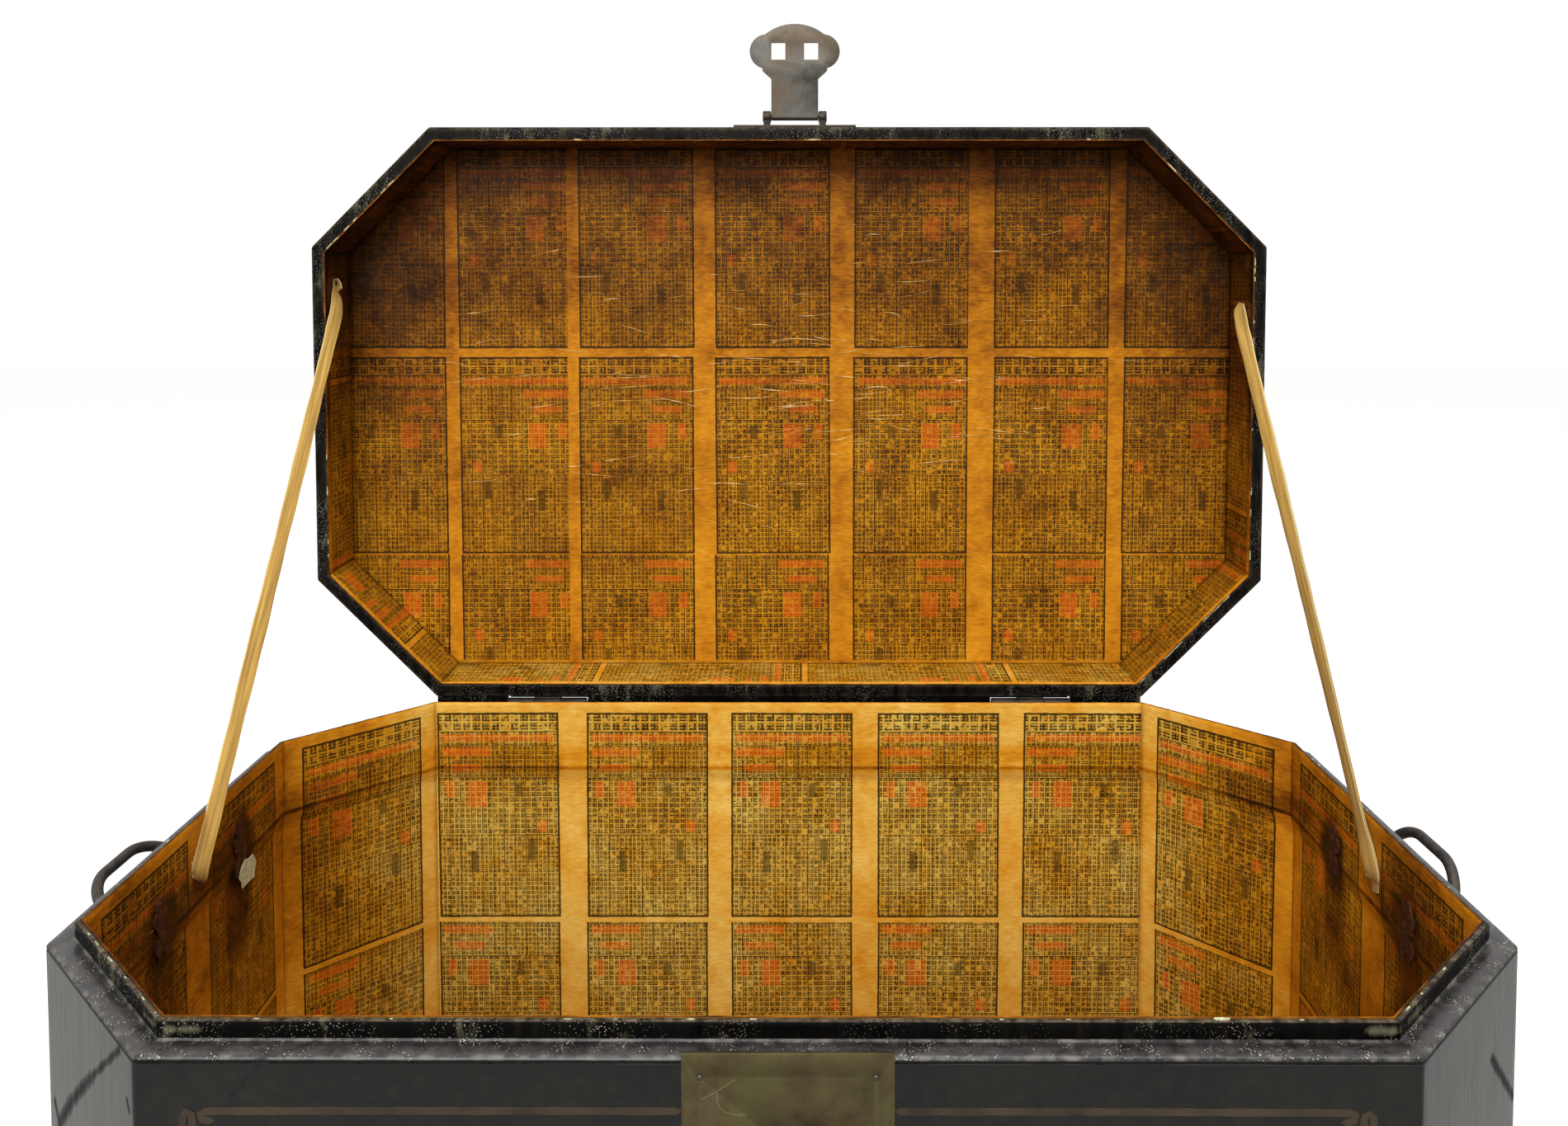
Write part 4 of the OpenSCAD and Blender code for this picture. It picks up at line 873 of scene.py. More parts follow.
def papered(name, columns, rows, place, sheets, age_and_shade_at, body, stands_for, clips=(), on_side=False,
            wood_side=-1.0):
    """A pasted paper panel: a fine grid whose faces know where they lie on a printed sheet.
    place gives a place of the grid, and the ageing function its age with painted shade in it. on_side is
    for sheets pasted with their long way across, and wood_side says which way from the grid the paper's
    thickness goes."""
    spots = [(s, w) for w in rows for s in columns]
    verts = [place(s, w) for s, w in spots]
    piece = make(name, verts, grid_faces(len(rows), len(columns)), PRINTED, body,
                 stands_for, sharp=60,
                 values={"age_and_shade": [age_and_shade_at(vert, w) for vert, (_, w) in zip(verts, spots)]})
    mesh = piece.data
    flat = mesh.uv_layers.new(name="print_mm")
    number = mesh.uv_layers.new(name="print_no")
    # Each sheet is pasted on a little askew and a little off its place
    pasted = [(next(SHEET_NUMBERS), random.uniform(-0.007, 0.007), random.uniform(-0.6, 0.6))
              for _ in sheets]
    middle_s = (np.array(columns)[:-1] + np.array(columns)[1:]) / 2
    middle_w = (np.array(rows)[:-1] + np.array(rows)[1:]) / 2
    places, numbers = [], []
    for j, w in enumerate(middle_w):
        for i, s in enumerate(middle_s):
            found = next((k for k, sheet in enumerate(sheets)
                          if sheet.left <= s <= sheet.right and sheet.bottom <= w <= sheet.top), None)
            for a, b in ((i, j), (i + 1, j), (i + 1, j + 1), (i, j + 1)):
                if found is None:
                    places.append(OFF_SHEET)
                    numbers.append((0.0, 0.0))
                    continue
                no, tilt, slip = pasted[found]
                p = sheets[found].across + columns[a] - sheets[found].left + slip
                q = sheets[found].down + sheets[found].top - rows[b]
                p, q = p + tilt * (q - SHEET_H / 2), q - tilt * (p - SHEET_W / 2)
                places.append((q, p) if on_side else (p, q))
                numbers.append((float(no), float(no % 7)))
    flat.uv.foreach_set("vector", np.array(places, np.float32).ravel())
    number.uv.foreach_set("vector", np.array(numbers, np.float32).ravel())
    if clips:
        work = bmesh.new()
        work.from_mesh(mesh)
        for point, away in clips:
            bmesh.ops.bisect_plane(work, geom=work.verts[:] + work.edges[:] + work.faces[:],
                                   dist=1e-6, plane_co=Vector(point) * MM, plane_no=Vector(away),
                                   clear_outer=True)
        work.to_mesh(mesh)
        work.free()
    back = piece.modifiers.new("paper thickness", "SOLIDIFY")
    back.thickness = PASTED_T * MM
    back.offset = wood_side
    return piece


def wrinkles(p, long_way, seed):
    """Gentle lifts of pasted paper in millimetres: long ones across, and fine ridges."""
    a = p[0] * long_way[0] + p[1] * long_way[1] + p[2] * long_way[2]
    b = p[2] if abs(long_way[2]) < 0.5 else p[0]
    return (0.22 * noise.noise(Vector((a / 70, b / 22, seed)))
            + 0.12 * noise.noise(Vector((a / 25, b / 7, seed + 9))))


# The body's two rows of sheets: top of the upper one, the gap between them, top of the lower
# one, and how far down the printed sheet the lower one begins
ROW_TOP, ROW_GAP = 325.5, 5.0
LOW_TOP = ROW_TOP - SHEET_H - ROW_GAP
LOW_DOWN = 26.0
FLOOR_Z = BOTTOM_T + PAPER
# Heights between which the paper steps out from the wall over the foot of the lip board, the
# height where it turns over the lip, and how far along the paper its rows past the turn lie
STEP_LOW, STEP_HIGH = 262.0, 284.0
TURN_Z = 334.3
PAST_TURN = [335.2, 336.4]
# How many sheets stand along a side and where the first starts. The others have one, in the
# middle. The back's starts are counted from its right end.
SHEETS_ALONG = {"front": (5, 2.0), "right": (2, 18.0), "left": (2, 18.0)}
BACK_STARTS = [-2.5, 119.0, 241.8, 362.5, 487.2]
# How many creases the paper has on a side. The others have three.
CREASE_COUNTS = {"back": 34, "back_right": 7, "back_left": 7}
# Where the bail eyes stand on the end walls
EYE_YS = (-54, 54)


def body_paper_age_and_shade(place, w):
    """How brown the body's paper is: more on the end walls, in a band about 290 mm high, in a line of
    painted shade along the step at the foot of the lip, under the eyes, and most where it is turned over
    the lip."""
    x, y, z = place
    if w > TURN_Z + 0.1:
        return 0.68 + 0.17 * smooth(285, 325, abs(x)) + 0.2 * wavy(place, 12, 3.0)
    end_wall = smooth(300, 385, abs(x))
    age_and_shade = 0.17 + 0.08 * wavy(place, 90, 1.0) + 0.05 * wavy(place, 30, 2.0)
    age_and_shade += 0.36 * end_wall * (0.8 + 0.6 * wavy(place, 70, 4.0))
    # Darker in a band about 290 mm high
    dark_band = math.exp(-((z - 290) / 9.0) ** 2)
    age_and_shade += 0.2 * dark_band * (0.8 + 0.5 * wavy(place, 40, 6.0))
    # A line of painted shade along the step where the paper passes over the foot of the lip board
    age_and_shade += 0.35 * math.exp(-((z - LIP_FOOT - 0.5) / 1.6) ** 2)
    if abs(x) > 370:
        age_and_shade += 0.06 * smooth(240, 320, z)
        for eye_y in EYE_YS:
            # Rust has spread round each eye and run down the wall from it
            near = wavy(place, 16, 8.0)
            r = math.hypot(y - eye_y - 6, (z - 284) / 1.5) + 12 * near
            age_and_shade += 0.24 * (1 - smooth(8, 24, r))
            run = abs(y - eye_y - 4) + 10 * wavy((x, y * 3, z), 60, 9.0)
            age_and_shade += 0.2 * (1 - smooth(12, 24, run)) * smooth(190, 235, z) * (1 - smooth(296, 306, z))
        age_and_shade = min(age_and_shade, 0.82)
    return min(max(age_and_shade, 0), 1)


def body_wall_place(number, length, normal):
    """A function that gives a place on a body wall's paper, and over its lip, from the distance
    along the wall and the height along the paper."""
    reach_over = 0.2 if "back" in SIDES[number] else 0.55

    def place(s, w):
        turned_over = w > TURN_Z + 0.1
        z = min(w, TURN_Z) + (0.45 if turned_over else 0.0)
        depth = WALL_T + PAPER + LIP_T * smooth(266, 280, z)
        if turned_over:
            ragged = noise.noise(Vector((s / 6, number * 3.0, 1.0)))
            depth -= (w - TURN_Z - 0.1) * (0.7 + 0.5 * ragged) * reach_over
            z += 0.12 * ragged - (0.2 if w > PAST_TURN[0] else 0.0)
        x, y = along_side(number, depth, s / length)
        edge = smooth(0, 12, min(s, length - s))
        lift = wrinkles((x, y, z), (-normal[1], normal[0], 0), number) * edge
        if turned_over:
            lift = 0
        lift += 0.15
        return (x - normal[0] * lift, y - normal[1] * lift, z)

    return place


def paper_body_wall(number, side):
    """Papers one wall of the body and gives the places of its creases."""
    length, normal = side_run(number, WALL_T + PAPER)
    starts = BACK_STARTS if side == "back" else sheets_across(length, *SHEETS_ALONG.get(side, (1,)))
    out = SHEET_MARGIN
    sheets = []
    for start in starts:
        left, right = start - out, start + SHEET_W + out
        sheets.append(Sheet(left, right, ROW_TOP - SHEET_H - out, ROW_TOP + out, -out, -out))
        sheets.append(Sheet(left, right, FLOOR_Z, LOW_TOP, -out, LOW_DOWN))
    rows = between([FLOOR_Z, LOW_TOP, ROW_TOP - SHEET_H - out, STEP_LOW], 5.0)[:-1]
    rows += between([STEP_LOW, STEP_HIGH], 1.4)[:-1]
    rows += between([STEP_HIGH, ROW_TOP + out, TURN_Z], 4.0) + PAST_TURN
    place = body_wall_place(number, length, normal)
    papered(side + "_wall_paper", panel_lines(0.0, length, sides_of(sheets), 5.0), rows, place,
            sheets, body_paper_age_and_shade, "body", ["body_wall_lining"])
    return [(place, (-normal[0], -normal[1], 0), random.uniform(30, length - 30),
             random.choice((random.uniform(60, 325), random.uniform(285, 325))))
            for _ in range(CREASE_COUNTS.get(side, 3))]


body_folds = []
for number, side in enumerate(SIDES):
    body_folds += paper_body_wall(number, side)


def floor_place(x, y):
    """A place on the floor's paper, lifted a little by its wrinkles."""
    lift = (0.35 * noise.noise(Vector((x / 60, y / 30, 4.0)))
            + 0.15 * noise.noise(Vector((x / 20, y / 8, 2.0))))
    return (x, y, FLOOR_Z + 0.1 + 0.4 * abs(lift))


def floor_age(place, _):
    """How brown the floor's paper is: more toward its ends."""
    return min(max(0.34 + 0.2 * wavy(place, 80, 7.0) + 0.25 * smooth(300, 380, abs(place[0])), 0), 1)


def paper_floor():
    """Papers the floor with six columns of sheets in three rows."""
    half_x, half_y = SIDE_X - WALL_T, SIDE_Y - WALL_T
    out = SHEET_MARGIN
    sheets = []
    for start in sheets_across(2 * half_x, 6, 35.0):
        for top, height in ((200.0, SHEET_H), (25.0, SHEET_H), (-150.0, 78.0)):
            sheets.append(Sheet(start - half_x - out, start - half_x + SHEET_W + out,
                                top - height - out, top + out, -out, -out))
    clips = [((x, y, BOTTOM_T), (way[0], way[1], 0)) for (x, y), way in cut_corners(WALL_T)]
    papered("floor_paper", panel_lines(-half_x, half_x, sides_of(sheets), 7.0),
            panel_lines(-half_y, half_y, ends_of(sheets), 7.0), floor_place, sheets, floor_age,
            "body", ["body_floor_lining"], clips)


paper_floor()


# Inside of the open lid: half its width and depth, the middle, foot and top of its top board,
# and the face of the paper there
LID_X, LID_Y = SIDE_X - LID_IN, SIDE_Y - LID_IN
LID_MID = HINGE_Z + HINGE_Y
LID_LOW, LID_HIGH = LID_MID - LID_Y, LID_MID + LID_Y
LID_FACE = HINGE_Y + LID_TOP_IN - PAPER - HINGE_Z
# The left edge of each column of sheets, and how much of its width shows
LID_COLUMNS = [(-404, 100), (-291.5, 94), (-185, 100), (-65, 100), (57.5, 98.5), (181, 99), (296, 100)]
# The top of each row of sheets, how much of its height shows, and where on the sheet it starts
LID_ROWS = [(801.5, 176.0, -SHEET_MARGIN), (617.0, 174.0, -SHEET_MARGIN), (439.8, 92.0, 24.0)]


def lid_age_and_shade(place, _):
    """How brown the lid's paper is: more toward its upper edge, its sides and its upper left corner,
    partly from age and partly as painted shade, less at the foot of the open lid, and most where it is
    turned over the rim."""
    x, y, z = place
    if y < HINGE_Y + 0.15:
        return 0.7 + 0.2 * wavy(place, 12, 13.0)
    if z < LID_LOW + 2:
        return 0.25 + 0.08 * wavy(place, 40, 12.0)
    age_and_shade = 0.405 + 0.08 * wavy(place, 90, 11.0) + 0.06 * wavy(place, 28, 12.0)
    # Darker toward the upper edge, the sides and along the rim of the upper walls, partly with age and
    # partly as painted shade
    age_and_shade += 0.16 * smooth(540, 700, z) + 0.16 * smooth(740, 800, z)
    age_and_shade += 0.3 * smooth(420, 560, z) * (1 - smooth(HINGE_Y + 1, HINGE_Y + 10, y))
    age_and_shade += 0.22 * smooth(240, 385, abs(x)) * smooth(380, 720, z)
    corner = smooth(-40, 90, (abs(x) - 290) + (z - 700))
    age_and_shade += (0.03 if x < 0 else -0.03) * corner * (0.8 + 0.4 * wavy(place, 30, 14.0))
    return min(max(age_and_shade, 0), 1)


def lid_place(x, z):
    """A place on the paper of the lid's top, lifted a little by its wrinkles."""
    lift = (0.35 * noise.noise(Vector((x / 80, z / 24, 1.0)))
            + 0.2 * noise.noise(Vector((x / 30, z / 8, 5.0))))
    return (x, LID_FACE - 0.15 - 0.6 * abs(lift), z)


def paper_lid_top():
    """Papers the inside of the lid's top with seven columns of sheets in three rows."""
    sheets = []
    for start, wide in LID_COLUMNS:
        left = max(start - SHEET_MARGIN, -LID_X)
        right = min(start + wide + SHEET_MARGIN, LID_X)
        for top, height, down in LID_ROWS:
            sheets.append(Sheet(left, right, max(top - height - SHEET_MARGIN, LID_LOW),
                                min(top + SHEET_MARGIN, LID_HIGH), left - start, down))
    clips = [((x, LID_FACE, LID_MID - y), (way[0], 0, -way[1])) for (x, y), way in cut_corners(LID_IN)]
    papered("lid_top_paper", panel_lines(-LID_X, LID_X, sides_of(sheets), 4.5),
            panel_lines(LID_LOW, LID_HIGH, ends_of(sheets), 4.0), lid_place, sheets, lid_age_and_shade,
            "lid", ["lid_top_lining"], clips)


def paper_lid_wall(number, side):
    """Papers one wall of the lid with sheets laid on their sides, turned out over the rim."""
    length, normal = side_run(number, LID_IN + PAPER)
    face_top = LID_TOP_IN - PAPER
    sheets, s = [], -14.0 - 60 * (number % 3)
    while s < length:
        if s + SHEET_H > 0:
            sheets.append(Sheet(max(s, 0.0), min(s + SHEET_H, length), RIM_Z + 5.0, face_top,
                                max(-s, 0.0), 2.0 + 16 * (number % 3)))
        s += SHEET_H + 5

    def place(s, w):
        over = w < RIM_Z
        z = max(w, RIM_Z - 0.1) - (0.15 if over else 0.0)
        depth = LID_IN + PAPER
        if over:
            ragged = noise.noise(Vector((s / 6, number * 5.0, 2.0)))
            depth -= (RIM_Z - w) * (0.9 + 1.0 * ragged)
        x, y = along_side(number, depth, s / length)
        edge = smooth(0, 12, min(s, length - s))
        lift = 0.15 + wrinkles((x, y, z), (-normal[1], normal[0], 0), number + 20) * edge
        if over:
            lift = 0.1
        return tuple(opened((x - normal[0] * lift, y - normal[1] * lift, z)))

    rows = [RIM_Z - 1.0, RIM_Z - 0.2] + between([RIM_Z, RIM_Z + 5, face_top], 4.0)
    papered("lid_" + side + "_wall_paper", panel_lines(0.0, length, sides_of(sheets), 5.0), rows,
            place, sheets, lid_age_and_shade, "lid", ["lid_wall_lining"], on_side=True, wood_side=1.0)


paper_lid_top()
for number, side in enumerate(SIDES):
    paper_lid_wall(number, side)


# Metalwork


def eased(node, finish, body, ease):
    """A CAD node's solid with its facets merged and its edges filed round by ease."""
    name = node + "_eased"
    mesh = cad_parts[node].data.copy()
    work = bmesh.new()
    work.from_mesh(mesh)
    bmesh.ops.remove_doubles(work, verts=work.verts, dist=1e-5)
    bmesh.ops.dissolve_limit(work, angle_limit=math.radians(1.0), verts=work.verts, edges=work.edges)
    # Edges sharper than 32 degrees are filed
    edges = [e for e in work.edges
             if len(e.link_faces) == 2 and e.calc_face_angle(0) > math.radians(32)]
    bmesh.ops.bevel(work, geom=edges, offset=ease * MM, segments=2, profile=0.5, affect="EDGES",
                    clamp_overlap=True)
    bmesh.ops.remove_doubles(work, verts=work.verts, dist=1e-6)
    work.to_mesh(mesh)
    work.free()
    mesh.name = name
    piece = finished(name, mesh, finish, 40)
    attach(piece, body)
    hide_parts(node)


def domed_nail(x, y, z):
    """Loops of a nail through the front, from its point to its domed head. y is the face that
    the head lies on."""
    # Each loop is a circle that stands out of that face, with a radius
    turns = np.linspace(0, 2 * math.pi, 17)[:-1]
    return [[(x + r * math.cos(t), y - out, z + r * math.sin(t)) for t in turns]
            for out, r in ((-8.5, 0.5), (-6, 1.1), (-0.2, 1.15), (-0.1, 1.4), (0.3, 1.4), (0.6, 1.1),
                           (0.75, 0.5))]


for node, finish, body, ease in (
        ("lock_plate", PLATE_BRASS, "body", 0.4), ("lock_staples", PLATE_BRASS, "body", 0.9),
        ("lid_plate", DARK_BRASS, "lid", 0.4), ("hasp_eyes", DARK_BRASS, "lid", 0.6),
        ("hasp_rod", DARK_BRASS, "lid", 0.3), ("hasp", BRASS, "hasp", 0.4)):
    eased(node, finish, body, ease)
for hand in ("left", "right"):
    for kind, finish, body, ease in (
            ("_hinge_body_leaf", DARK_BRASS, "body", 0.4), ("_hinge_pin", IRON, "body", 0.5),
            ("_hinge_lid_leaf", DARK_BRASS, "lid", 0.4), ("_bail_eyes", RUST, "body", 0.5),
            ("_bail_roses", IRON, "body", 0.5)):
        eased(hand + kind, finish, body, ease)

# The plates' nails: the face that they lie on, how far from the lock's middle, and their heights
for node, body, face_y, out, heights in (
        ("lock_plate_nails", "body", -SIDE_Y - PLATE_T, 40.9, (316.6, 248.0)),
        ("lid_plate_nails", "lid", -SIDE_Y + LID_OUT - PLATE_T, 42.4, (337.6, 365.2))):
    nails = [domed_nail(LOCK_X + s * out, face_y, z) for s in (-1, 1) for z in heights]
    if body == "lid":
        nails = [[opened(loop) for loop in nail] for nail in nails]
    loft(node + "_domed", nails, BRASS, body, [node], 40)

for node, metal in (("hinge_body_nails", PLATE_BRASS), ("hinge_lid_nails", PLATE_BRASS),
                    ("tape_body_tacks", RUST), ("tape_lid_tacks", RUST),
                    ("left_bail", IRON), ("right_bail", IRON)):
    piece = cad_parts[node]
    piece.data.materials.clear()
    piece.data.materials.append(metal)


# A lacquered bead along the lid's back edge closes the joint between the hinges and beside them, and its
# black also stands for the shade in that joint
BEAD_END = 298.5
leaf_ends = [abs(1000 * corner[0]) for hand in ("left", "right") for leaf in ("lid", "body")
             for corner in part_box(hand + "_hinge_" + leaf + "_leaf")]
inner_x, outer_x = min(leaf_ends), max(leaf_ends)
stretches = []
for low_x, high_x in ((-BEAD_END, -outer_x - 1), (-inner_x + 1, inner_x - 1), (outer_x + 1, BEAD_END)):
    loops = []
    for x in np.linspace(low_x, high_x, max(round((high_x - low_x) / 12), 1) + 1):
        # The bead's section is in (y, z) places of the closed lid
        bow = 0.25 * wavy((x, 0, 0), 30, 6.0)
        loops.append([tuple(opened((x, y, z))) for y, z in (
            (240.2, 325.6), (244.8 + bow, 325.5), (245.9 + bow, 326.3), (246.1 + bow, 327.6),
            (245.0 + bow, 329.0), (242.6, 330.0), (240.2, 330.4))])
    stretches.append(loops)
loft("lid_back_bead", stretches, LIP_WOOD, "lid", sharp=50)


# Cotton tapes

# Outline of the folded tape: across it, out of it, and where each point lies across the flat
# tape. Its open side is at the low end of across and its fold at the high end.
FOLDED = [(-4.7, 0.4, 0.0), (0, 0.42, 4.8), (4.3, 0.28, 9.3), (4.75, 0.0, 10.3), (4.3, -0.3, 11.3),
          (0, -0.38, 15.6), (-5.1, -0.15, TAPE_FLAT_W), (-5.1, -0.5, TAPE_FLAT_W),
          (0, -0.75, 15.6), (4.7, -0.62, 11.3), (5.3, 0.0, 10.3), (4.7, 0.62, 9.3), (0, 0.8, 4.8),
          (-4.7, 0.75, 0.0)]


def tape(hand, path, turns, pressed):
    """A tape folded lengthwise and pulled tight between its two tacks. turns gives how far its
    width is turned from lying flat on the wall toward the front, by distance along it, counted
    from the far end where it is below zero. pressed is how much of each end is nailed flat."""
    side = 1 if hand == "right" else -1
    line, at = spaced(rounded(path, 2) * [side, 1, 1], 2.0)
    length = float(at[-1])
    places, angles = zip(*[(d if d >= 0 else length + d, angle) for d, angle in turns])
    turn = np.interp(at, places, angles)
    press = np.interp(at, [pressed[0], pressed[0] + 14, length - pressed[1] - 14, length - pressed[1]],
                      [0.5, 1, 1, 0.5])
    rng = np.random.default_rng(3 + side)
    before = np.array([0.0, 1.0, 0.0])
    loops = []
    for i, place in enumerate(line):
        way = way_at(line, i)
        # Unturned, the width runs back along the wall, and it never flips over between two steps
        wide = np.array([0.0, 1.0, 0.0]) - way * way[1]
        wide *= (1 if wide.dot(before) >= 0 else -1) / np.linalg.norm(wide)
        before = wide
        t = math.radians(turn[i]) * side
        across = wide * math.cos(t) + np.cross(way, wide) * math.sin(t)
        out = np.cross(way, across) * press[i]
        # The width varies a little along the tape, and narrows where the lid's tack gathers it
        slack = 1 + 0.05 * math.sin(at[i] / 23) + 0.03 * math.sin(at[i] / 7.1)
        slack *= 1 - 0.45 * math.exp(-((at[i] - length + 14) / 7) ** 2)
        frayed = 1.2 if i in (0, len(line) - 1) else 0.0
        loops.append([place + across * u * slack + out * v + way * rng.uniform(-frayed, frayed)
                      for u, v, _ in FOLDED])
    piece = loft(hand + "_tape_woven", [loops], TAPE, None, [hand + "_tape"], 60)
    count = len(FOLDED)
    flat = piece.data.uv_layers.new(name="tape_mm")
    flat.uv.foreach_set("vector", np.array(
        [(FOLDED[loop.vertex_index % count][2], at[loop.vertex_index // count])
         for loop in piece.data.loops], np.float32).ravel())
    return piece, length


# Places along each tape's middle, with x as on the right-hand side. The left tape hides its
# lower tack, and its end shows at the lid. The right one hangs a tail below its lower tack and
# hides its upper one.
TAPE_ROUTES = {
    "left": [(382.9, -7, 309), (382.9, -7, 298), (382.4, -7.6, 296.3), (381.2, -9.2, 296.5),
             (379.0, -11.2, 299.5), (378.0, -11.4, 305), (378.0, -6, 313), (380.2, 248, 652),
             (382.4, 259, 666), (385.2, 265, 675), (387.2, 268, 680.5), (387.0, 268.8, 684.8),
             (385.6, 268.4, 685.6), (384.4, 267.4, 683.4), (383.4, 265.6, 677)],
    "right": [(382.9, -9.5, 289), (383.0, -8.0, 296), (383.0, -7.2, 306), (382.6, -7, 308),
              (382.1, -7, 306), (382.0, -7.2, 299), (381.6, -8.6, 297.2), (380.2, -10.8, 299.5),
              (379.0, -11.4, 305), (379.0, -6, 313), (381.6, 250, 640), (382.2, 260.5, 656),
              (382.8, 263.6, 662.5), (384.0, 265.4, 665.8), (386.0, 267.6, 666.0), (387.2, 268.4, 662),
              (387.3, 268.4, 653)]}
# How far each tape is turned, as (distance, degrees)
TAPE_TURNS = {
    "left": [(0, 0), (9, 0), (18, 84), (330, 84), (-85, 82), (-50, 52), (-28, 30), (-16, 4), (-6, 50),
             (-0.1, 58)],
    "right": [(0, 0), (28, 0), (36, 30), (52, 26), (62, 12), (110, 14), (210, 26), (300, 41), (-75, 76),
              (-22, 80), (-13, 0), (-0.1, 0)]}
for hand, side, pressed, lid_end in (("left", -1, (12, 22), 0.668), ("right", 1, (30, 14), 0.652)):
    piece, length = tape(hand, TAPE_ROUTES[hand], TAPE_TURNS[hand], pressed)
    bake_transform(piece)


# Painted border on the front

# Width of the line. The lower half of the border mirrors the upper one, so that a place at
# height z has its twin at MIRROR_Z - z.
LINE_W = 3.7
MIRROR_Z = 333


def brush_stroke(points):
    """Loops along a painted line through (x, z) places on the front face."""
    line, at = spaced(rounded(points), 3.0)
    loops = []
    for i, (x, z) in enumerate(line):
        way = way_at(line, i)
        left = min(at[i], at[-1] - at[i]) / (LINE_W / 2)
        cap = math.sqrt(max(1 - (1 - min(left, 1)) ** 2, 0.02))
        half = LINE_W / 2 * cap * (1 + 0.14 * noise.noise(Vector((x / 9, z / 9, 3.0))))
        across = np.array([-way[1], way[0]]) * half
        a, b = (x - across[0], z - across[1]), (x + across[0], z + across[1])
        back, face = -SIDE_Y + 0.2, -SIDE_Y - 0.16
        loops.append([(a[0], back, a[1]), (b[0], back, b[1]), (b[0], face, b[1]), (a[0], face, a[1])])
    return loops


def mirrored(points):
    """The twin of a stretch of the border in its lower half, run the other way."""
    return [(x, MIRROR_Z - z) for x, z in reversed(points)]


# Each line ends in a hook, and the line at each side turns back beside itself
HOOK = [(140, 299.3), (258, 299), (268, 298.8), (269.6, 296.4), (267, 294.2), (262, 294.4)]
UPRIGHT = [(272.6, 279), (272.6, 295), (272.8, 297.6), (275, 298.6), (277.2, 297.6), (277.4, 295),
           (277.4, 166.5)]
strokes = [[(-x, z) for x, z in mirrored(HOOK)] + mirrored(HOOK)[::-1]]
# The upper line runs up to the lock plate from both sides
for hand in (-1, 1):
    strokes.append([(LOCK_X + hand * 49.0, 299.2)] + [(hand * x, z) for x, z in HOOK])
    strokes.append([(hand * x, z) for x, z in UPRIGHT + mirrored(UPRIGHT)])
loft("front_painted_border", [brush_stroke(stroke) for stroke in strokes], RED_LINE, "body",
     sharp=30)


# Torn and creased paper


def flake(middle, across, up, wide, tall, seed, thick=0.25, ragged=0.35):
    """Loops of a scrap of torn paper with a ragged outline."""
    m, a, b = (np.array(v, float) for v in (middle, across, up))
    face = np.cross(a, b) * thick
    outline = []
    for k in range(14):
        t = 2 * math.pi * k / 14
        r = 1 + ragged * noise.noise(Vector((2 * math.cos(t), 2 * math.sin(t), seed)))
        outline.append(m + a * wide / 2 * r * math.cos(t) + b * tall / 2 * r * math.sin(t))
    return [[p - face for p in outline], [p + face for p in outline]]


def edge_scrap(sides, depth, z, widths, heights, seed, tilts=None):
    """Loops of a small scrap on one of the sides, at a depth and a height. It lies flat unless
    there are tilts."""
    side = random.choice(sides)
    corners = plan(depth)
    a, b = corners[side], corners[(side + 1) % 8]
    x, y = a + (b - a) * random.uniform(0.03, 0.97)
    along = np.append((b - a) / np.linalg.norm(b - a), 0)
    inward = np.array([-along[1], along[0], random.uniform(*tilts) if tilts else 0.0])
    return flake((x, y, z), along, inward, random.uniform(*widths), random.uniform(*heights), seed, 0.12)


# One large scrap under the left rear eye, one on the front lip, and small ones along the lip,
# mostly at the front and the front left
scraps = [flake((-380.8, 63.5, 268.5), (0, 1, 0), (0, 0, 1), 27, 20, 4.0, 0.3, 0.55),
          flake((211, -226.0, 334.7), (1, 0, 0), (0, 1, 0.1), 8, 1.8, 2.0)]
for k in range(46):
    scraps.append(edge_scrap((0, 0, 0, 1, 7, 7, 3, 5, 2, 6), WALL_T + 1.4, LIP_TOP + 0.12, (1, 4.5),
                             (0.4, 1.0), 5.0 + k, (-0.25, 0.1)))
loft("body_torn_paper", scraps, TORN, "body", sharp=40)

# Rust and old varnish crusted over the ends of the bail eyes, inside. Each flake has its place
# back from the eye, its height, its width and how tall it is.
EYE_FLAKES = [(1, 300, 11, 12), (-2, 293, 13, 13), (4, 284, 15, 16), (-3, 276, 9, 12), (6, 272, 8, 7)]
crusts = []
for hand in (-1, 1):
    for eye_y in EYE_YS:
        for k, (back, z, wide, tall) in enumerate(EYE_FLAKES):
            crusts.append(flake((hand * 382.3, eye_y + back, z), (0, hand, 0), (0, 0, 1), wide, tall,
                                hand + eye_y + k * 3.0, 1.1 - 0.1 * k, 0.55))
loft("bail_eye_crust", crusts, RUST, "body", sharp=50)

# Small scraps along the lid's rim
scraps = []
for k in range(34):
    scrap = edge_scrap((0, 7, 1, 2, 2, 3, 6, 7), LID_IN - 0.6, RIM_Z - 0.1, (2, 12), (0.6, 1.4), 60.0 + k)
    scraps.append([opened(loop) for loop in scrap])
loft("lid_torn_paper", scraps, TORN, "lid", sharp=40)


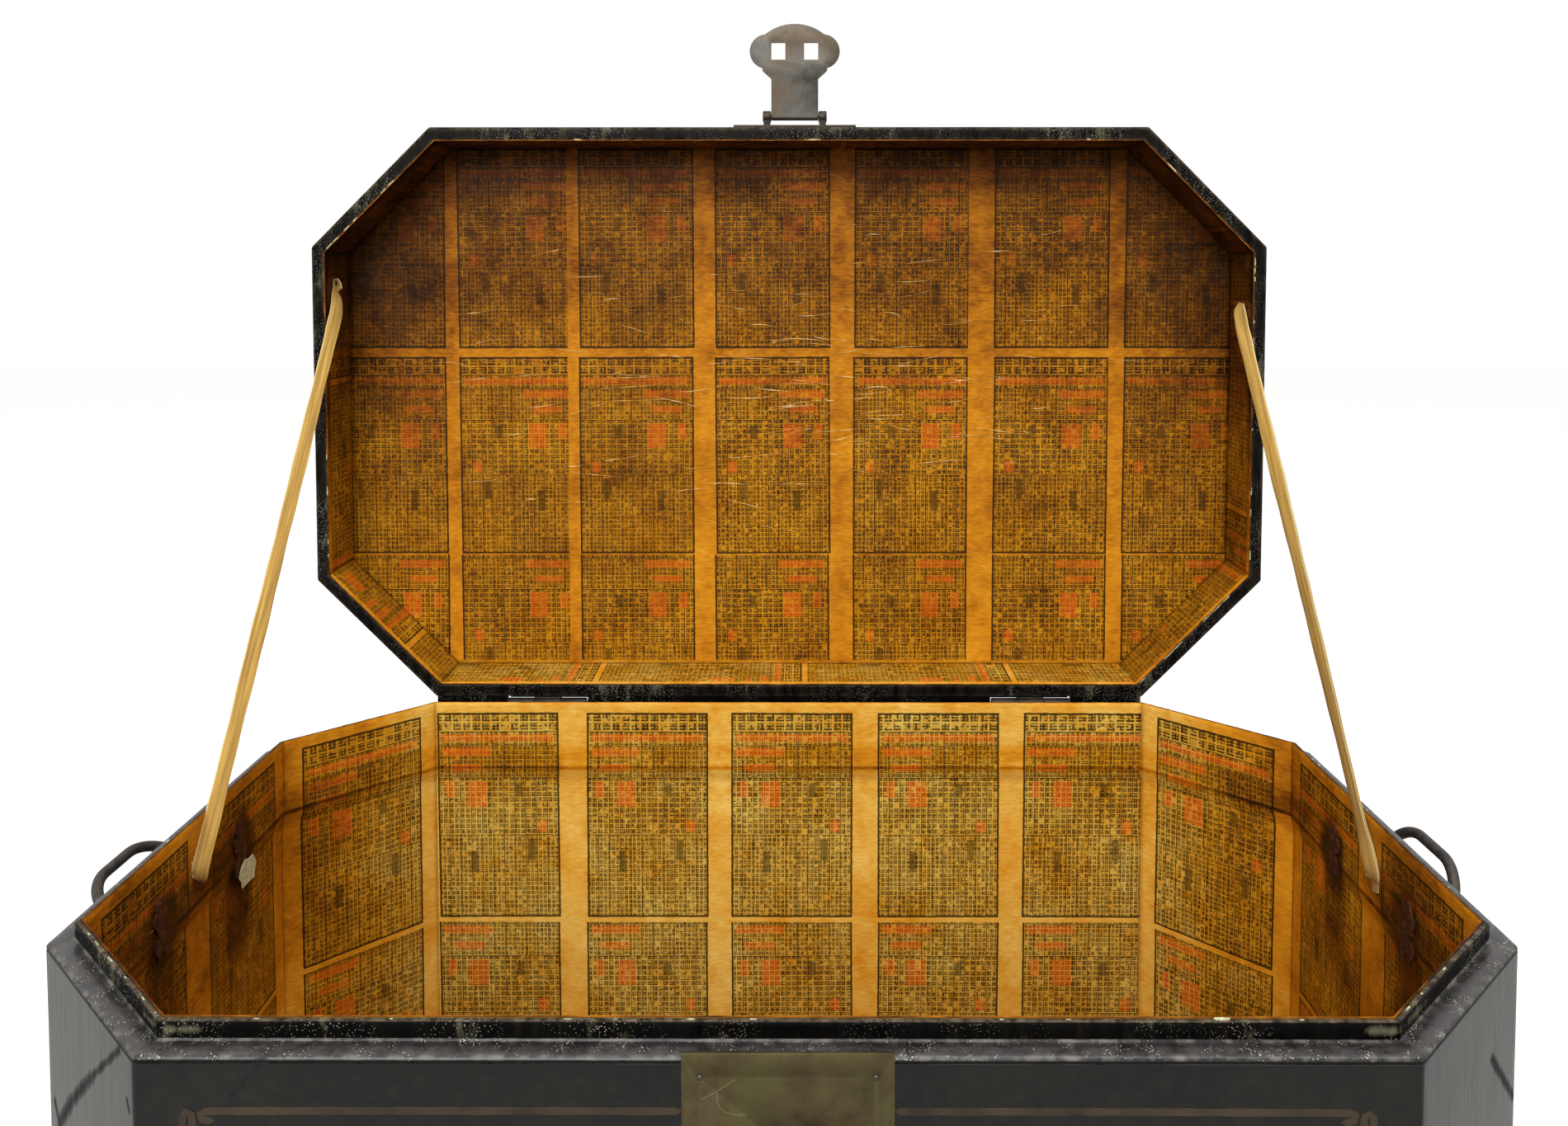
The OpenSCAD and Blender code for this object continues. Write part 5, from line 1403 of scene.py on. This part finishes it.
def crease(place, face, s, w, length, tilt, bow, wide):
    """Loops of a raised fold in pasted paper, on a surface given by place(s, w)."""
    loops = []
    out = np.array(face, float)
    for f in np.linspace(0, 1, 9):
        ds, dw = (f - 0.5) * length * math.cos(tilt), (f - 0.5) * length * math.sin(tilt)
        dw += bow * (1 - 4 * (f - 0.5) ** 2)
        middle = np.array(place(s + ds, w + dw))
        half = 0.5 * wide * (math.sin(math.pi * min(max(f, 0.04), 0.96)) ** 0.6)
        low, high = (np.array(place(s + ds, w + dw + e)) for e in (-half, half))
        loops.append([low - out * 0.4, middle + out * (0.25 + 0.4 * half), high - out * 0.4])
    return loops


# Creases gather in the middle of the lid's paper
folds = []
for _ in range(130):
    x = random.gauss(10, 150)
    z = random.gauss(600, 62)
    if abs(x) > 300 or not 440 < z < 760:
        continue
    folds.append(crease(lid_place, (0, -1, 0), x, z, random.uniform(14, 52), random.gauss(0.02, 0.12),
                        random.uniform(-2, 2), random.uniform(0.7, 1.5)))
loft("lid_paper_creases", folds, CREASED, "lid", sharp=60)
body_folds = [crease(*spot, random.uniform(10, 34), random.gauss(0, 0.1), random.uniform(-1, 1),
                     random.uniform(0.4, 0.8)) for spot in body_folds]
loft("body_paper_creases", body_folds, CREASED, "body", sharp=60)


# Camera, lamps and floor

# The camera's place, turn, lens and shift are fitted to the trunk's corners in the photo
camera_data = bpy.data.cameras.new("camera")
camera_data.sensor_width = 36.0
camera_data.lens = 29.063
camera_data.shift_x = -0.01004
camera_data.shift_y = -0.14104
camera = bpy.data.objects.new("camera", camera_data)
camera.location = (0.01186, -0.81166, 0.68538)
camera.rotation_euler = (math.radians(90 - 2.786), 0, math.radians(0.1425))
bpy.context.scene.collection.objects.link(camera)
bpy.context.scene.camera = camera


def lamp(name, place, target, size, power):
    """A square soft box that faces its target."""
    data = bpy.data.lights.new(name, "AREA")
    data.shape = "SQUARE"
    data.size = size
    data.energy = power
    made = bpy.data.objects.new(name, data)
    made.location = place
    made.rotation_euler = (Vector(target) - Vector(place)).to_track_quat("-Z", "Y").to_euler()
    bpy.context.scene.collection.objects.link(made)


lamp("front box", (-0.7, -3.0, 2.4), (0.0, 0.1, 0.4), 2.4, 130)
lamp("top box", (0.6, -0.6, 3.4), (0.0, 0.1, 0.3), 2.2, 56)


def studio():
    """A pale floor and a white world, which lights the trunk at about half strength. The floor
    keeps the trunk's shadow."""
    # The camera, glossy and clear surfaces see the world white
    world = bpy.data.worlds.new("white world")
    world.use_nodes = True
    bpy.context.scene.world = world
    tree = world.node_tree
    rays = add(tree, "LightPath")
    seen = add(tree, "Math", [rays.outputs["Is Camera Ray"], rays.outputs["Is Glossy Ray"]],
               operation="MAXIMUM")
    shown = add(tree, "Math", [seen, rays.outputs["Is Transmission Ray"]], operation="MAXIMUM")
    strength = add(tree, "Mix", {0: shown, 2: 0.55, 3: 1.0}, data_type="FLOAT")
    feed(tree, tree.nodes["Background"], {"Color": (1, 1, 1, 1), "Strength": strength})

    # The floor is white to the camera and through clear surfaces, and grey in the lacquer
    floor_finish, tree, shader = new_finish("pale floor", Base_Color="#a3a29e", Roughness=0.9)
    rays = add(tree, "LightPath")
    seen = add(tree, "Math", [rays.outputs["Is Camera Ray"], rays.outputs["Is Transmission Ray"]],
               operation="MAXIMUM")
    in_lacquer = add(tree, "Math", [rays.outputs["Is Glossy Ray"], 0.25], operation="MULTIPLY")
    shown = add(tree, "Math", [seen, in_lacquer], operation="MAXIMUM")
    glow = add(tree, "Math", [shown, 0.72], operation="MULTIPLY")
    feed(tree, shader, {"Emission Color": (1, 1, 1, 1), "Emission Strength": glow})
    mesh = bpy.data.meshes.new("floor")
    mesh.from_pydata([(-9, -9, 0), (9, -9, 0), (9, 9, 0), (-9, 9, 0)], [], [(0, 1, 2, 3)])
    mesh.materials.append(floor_finish)
    floor = bpy.data.objects.new("floor", mesh)
    bpy.context.scene.collection.objects.link(floor)


studio()
bpy.context.scene.view_settings.view_transform = "Standard"
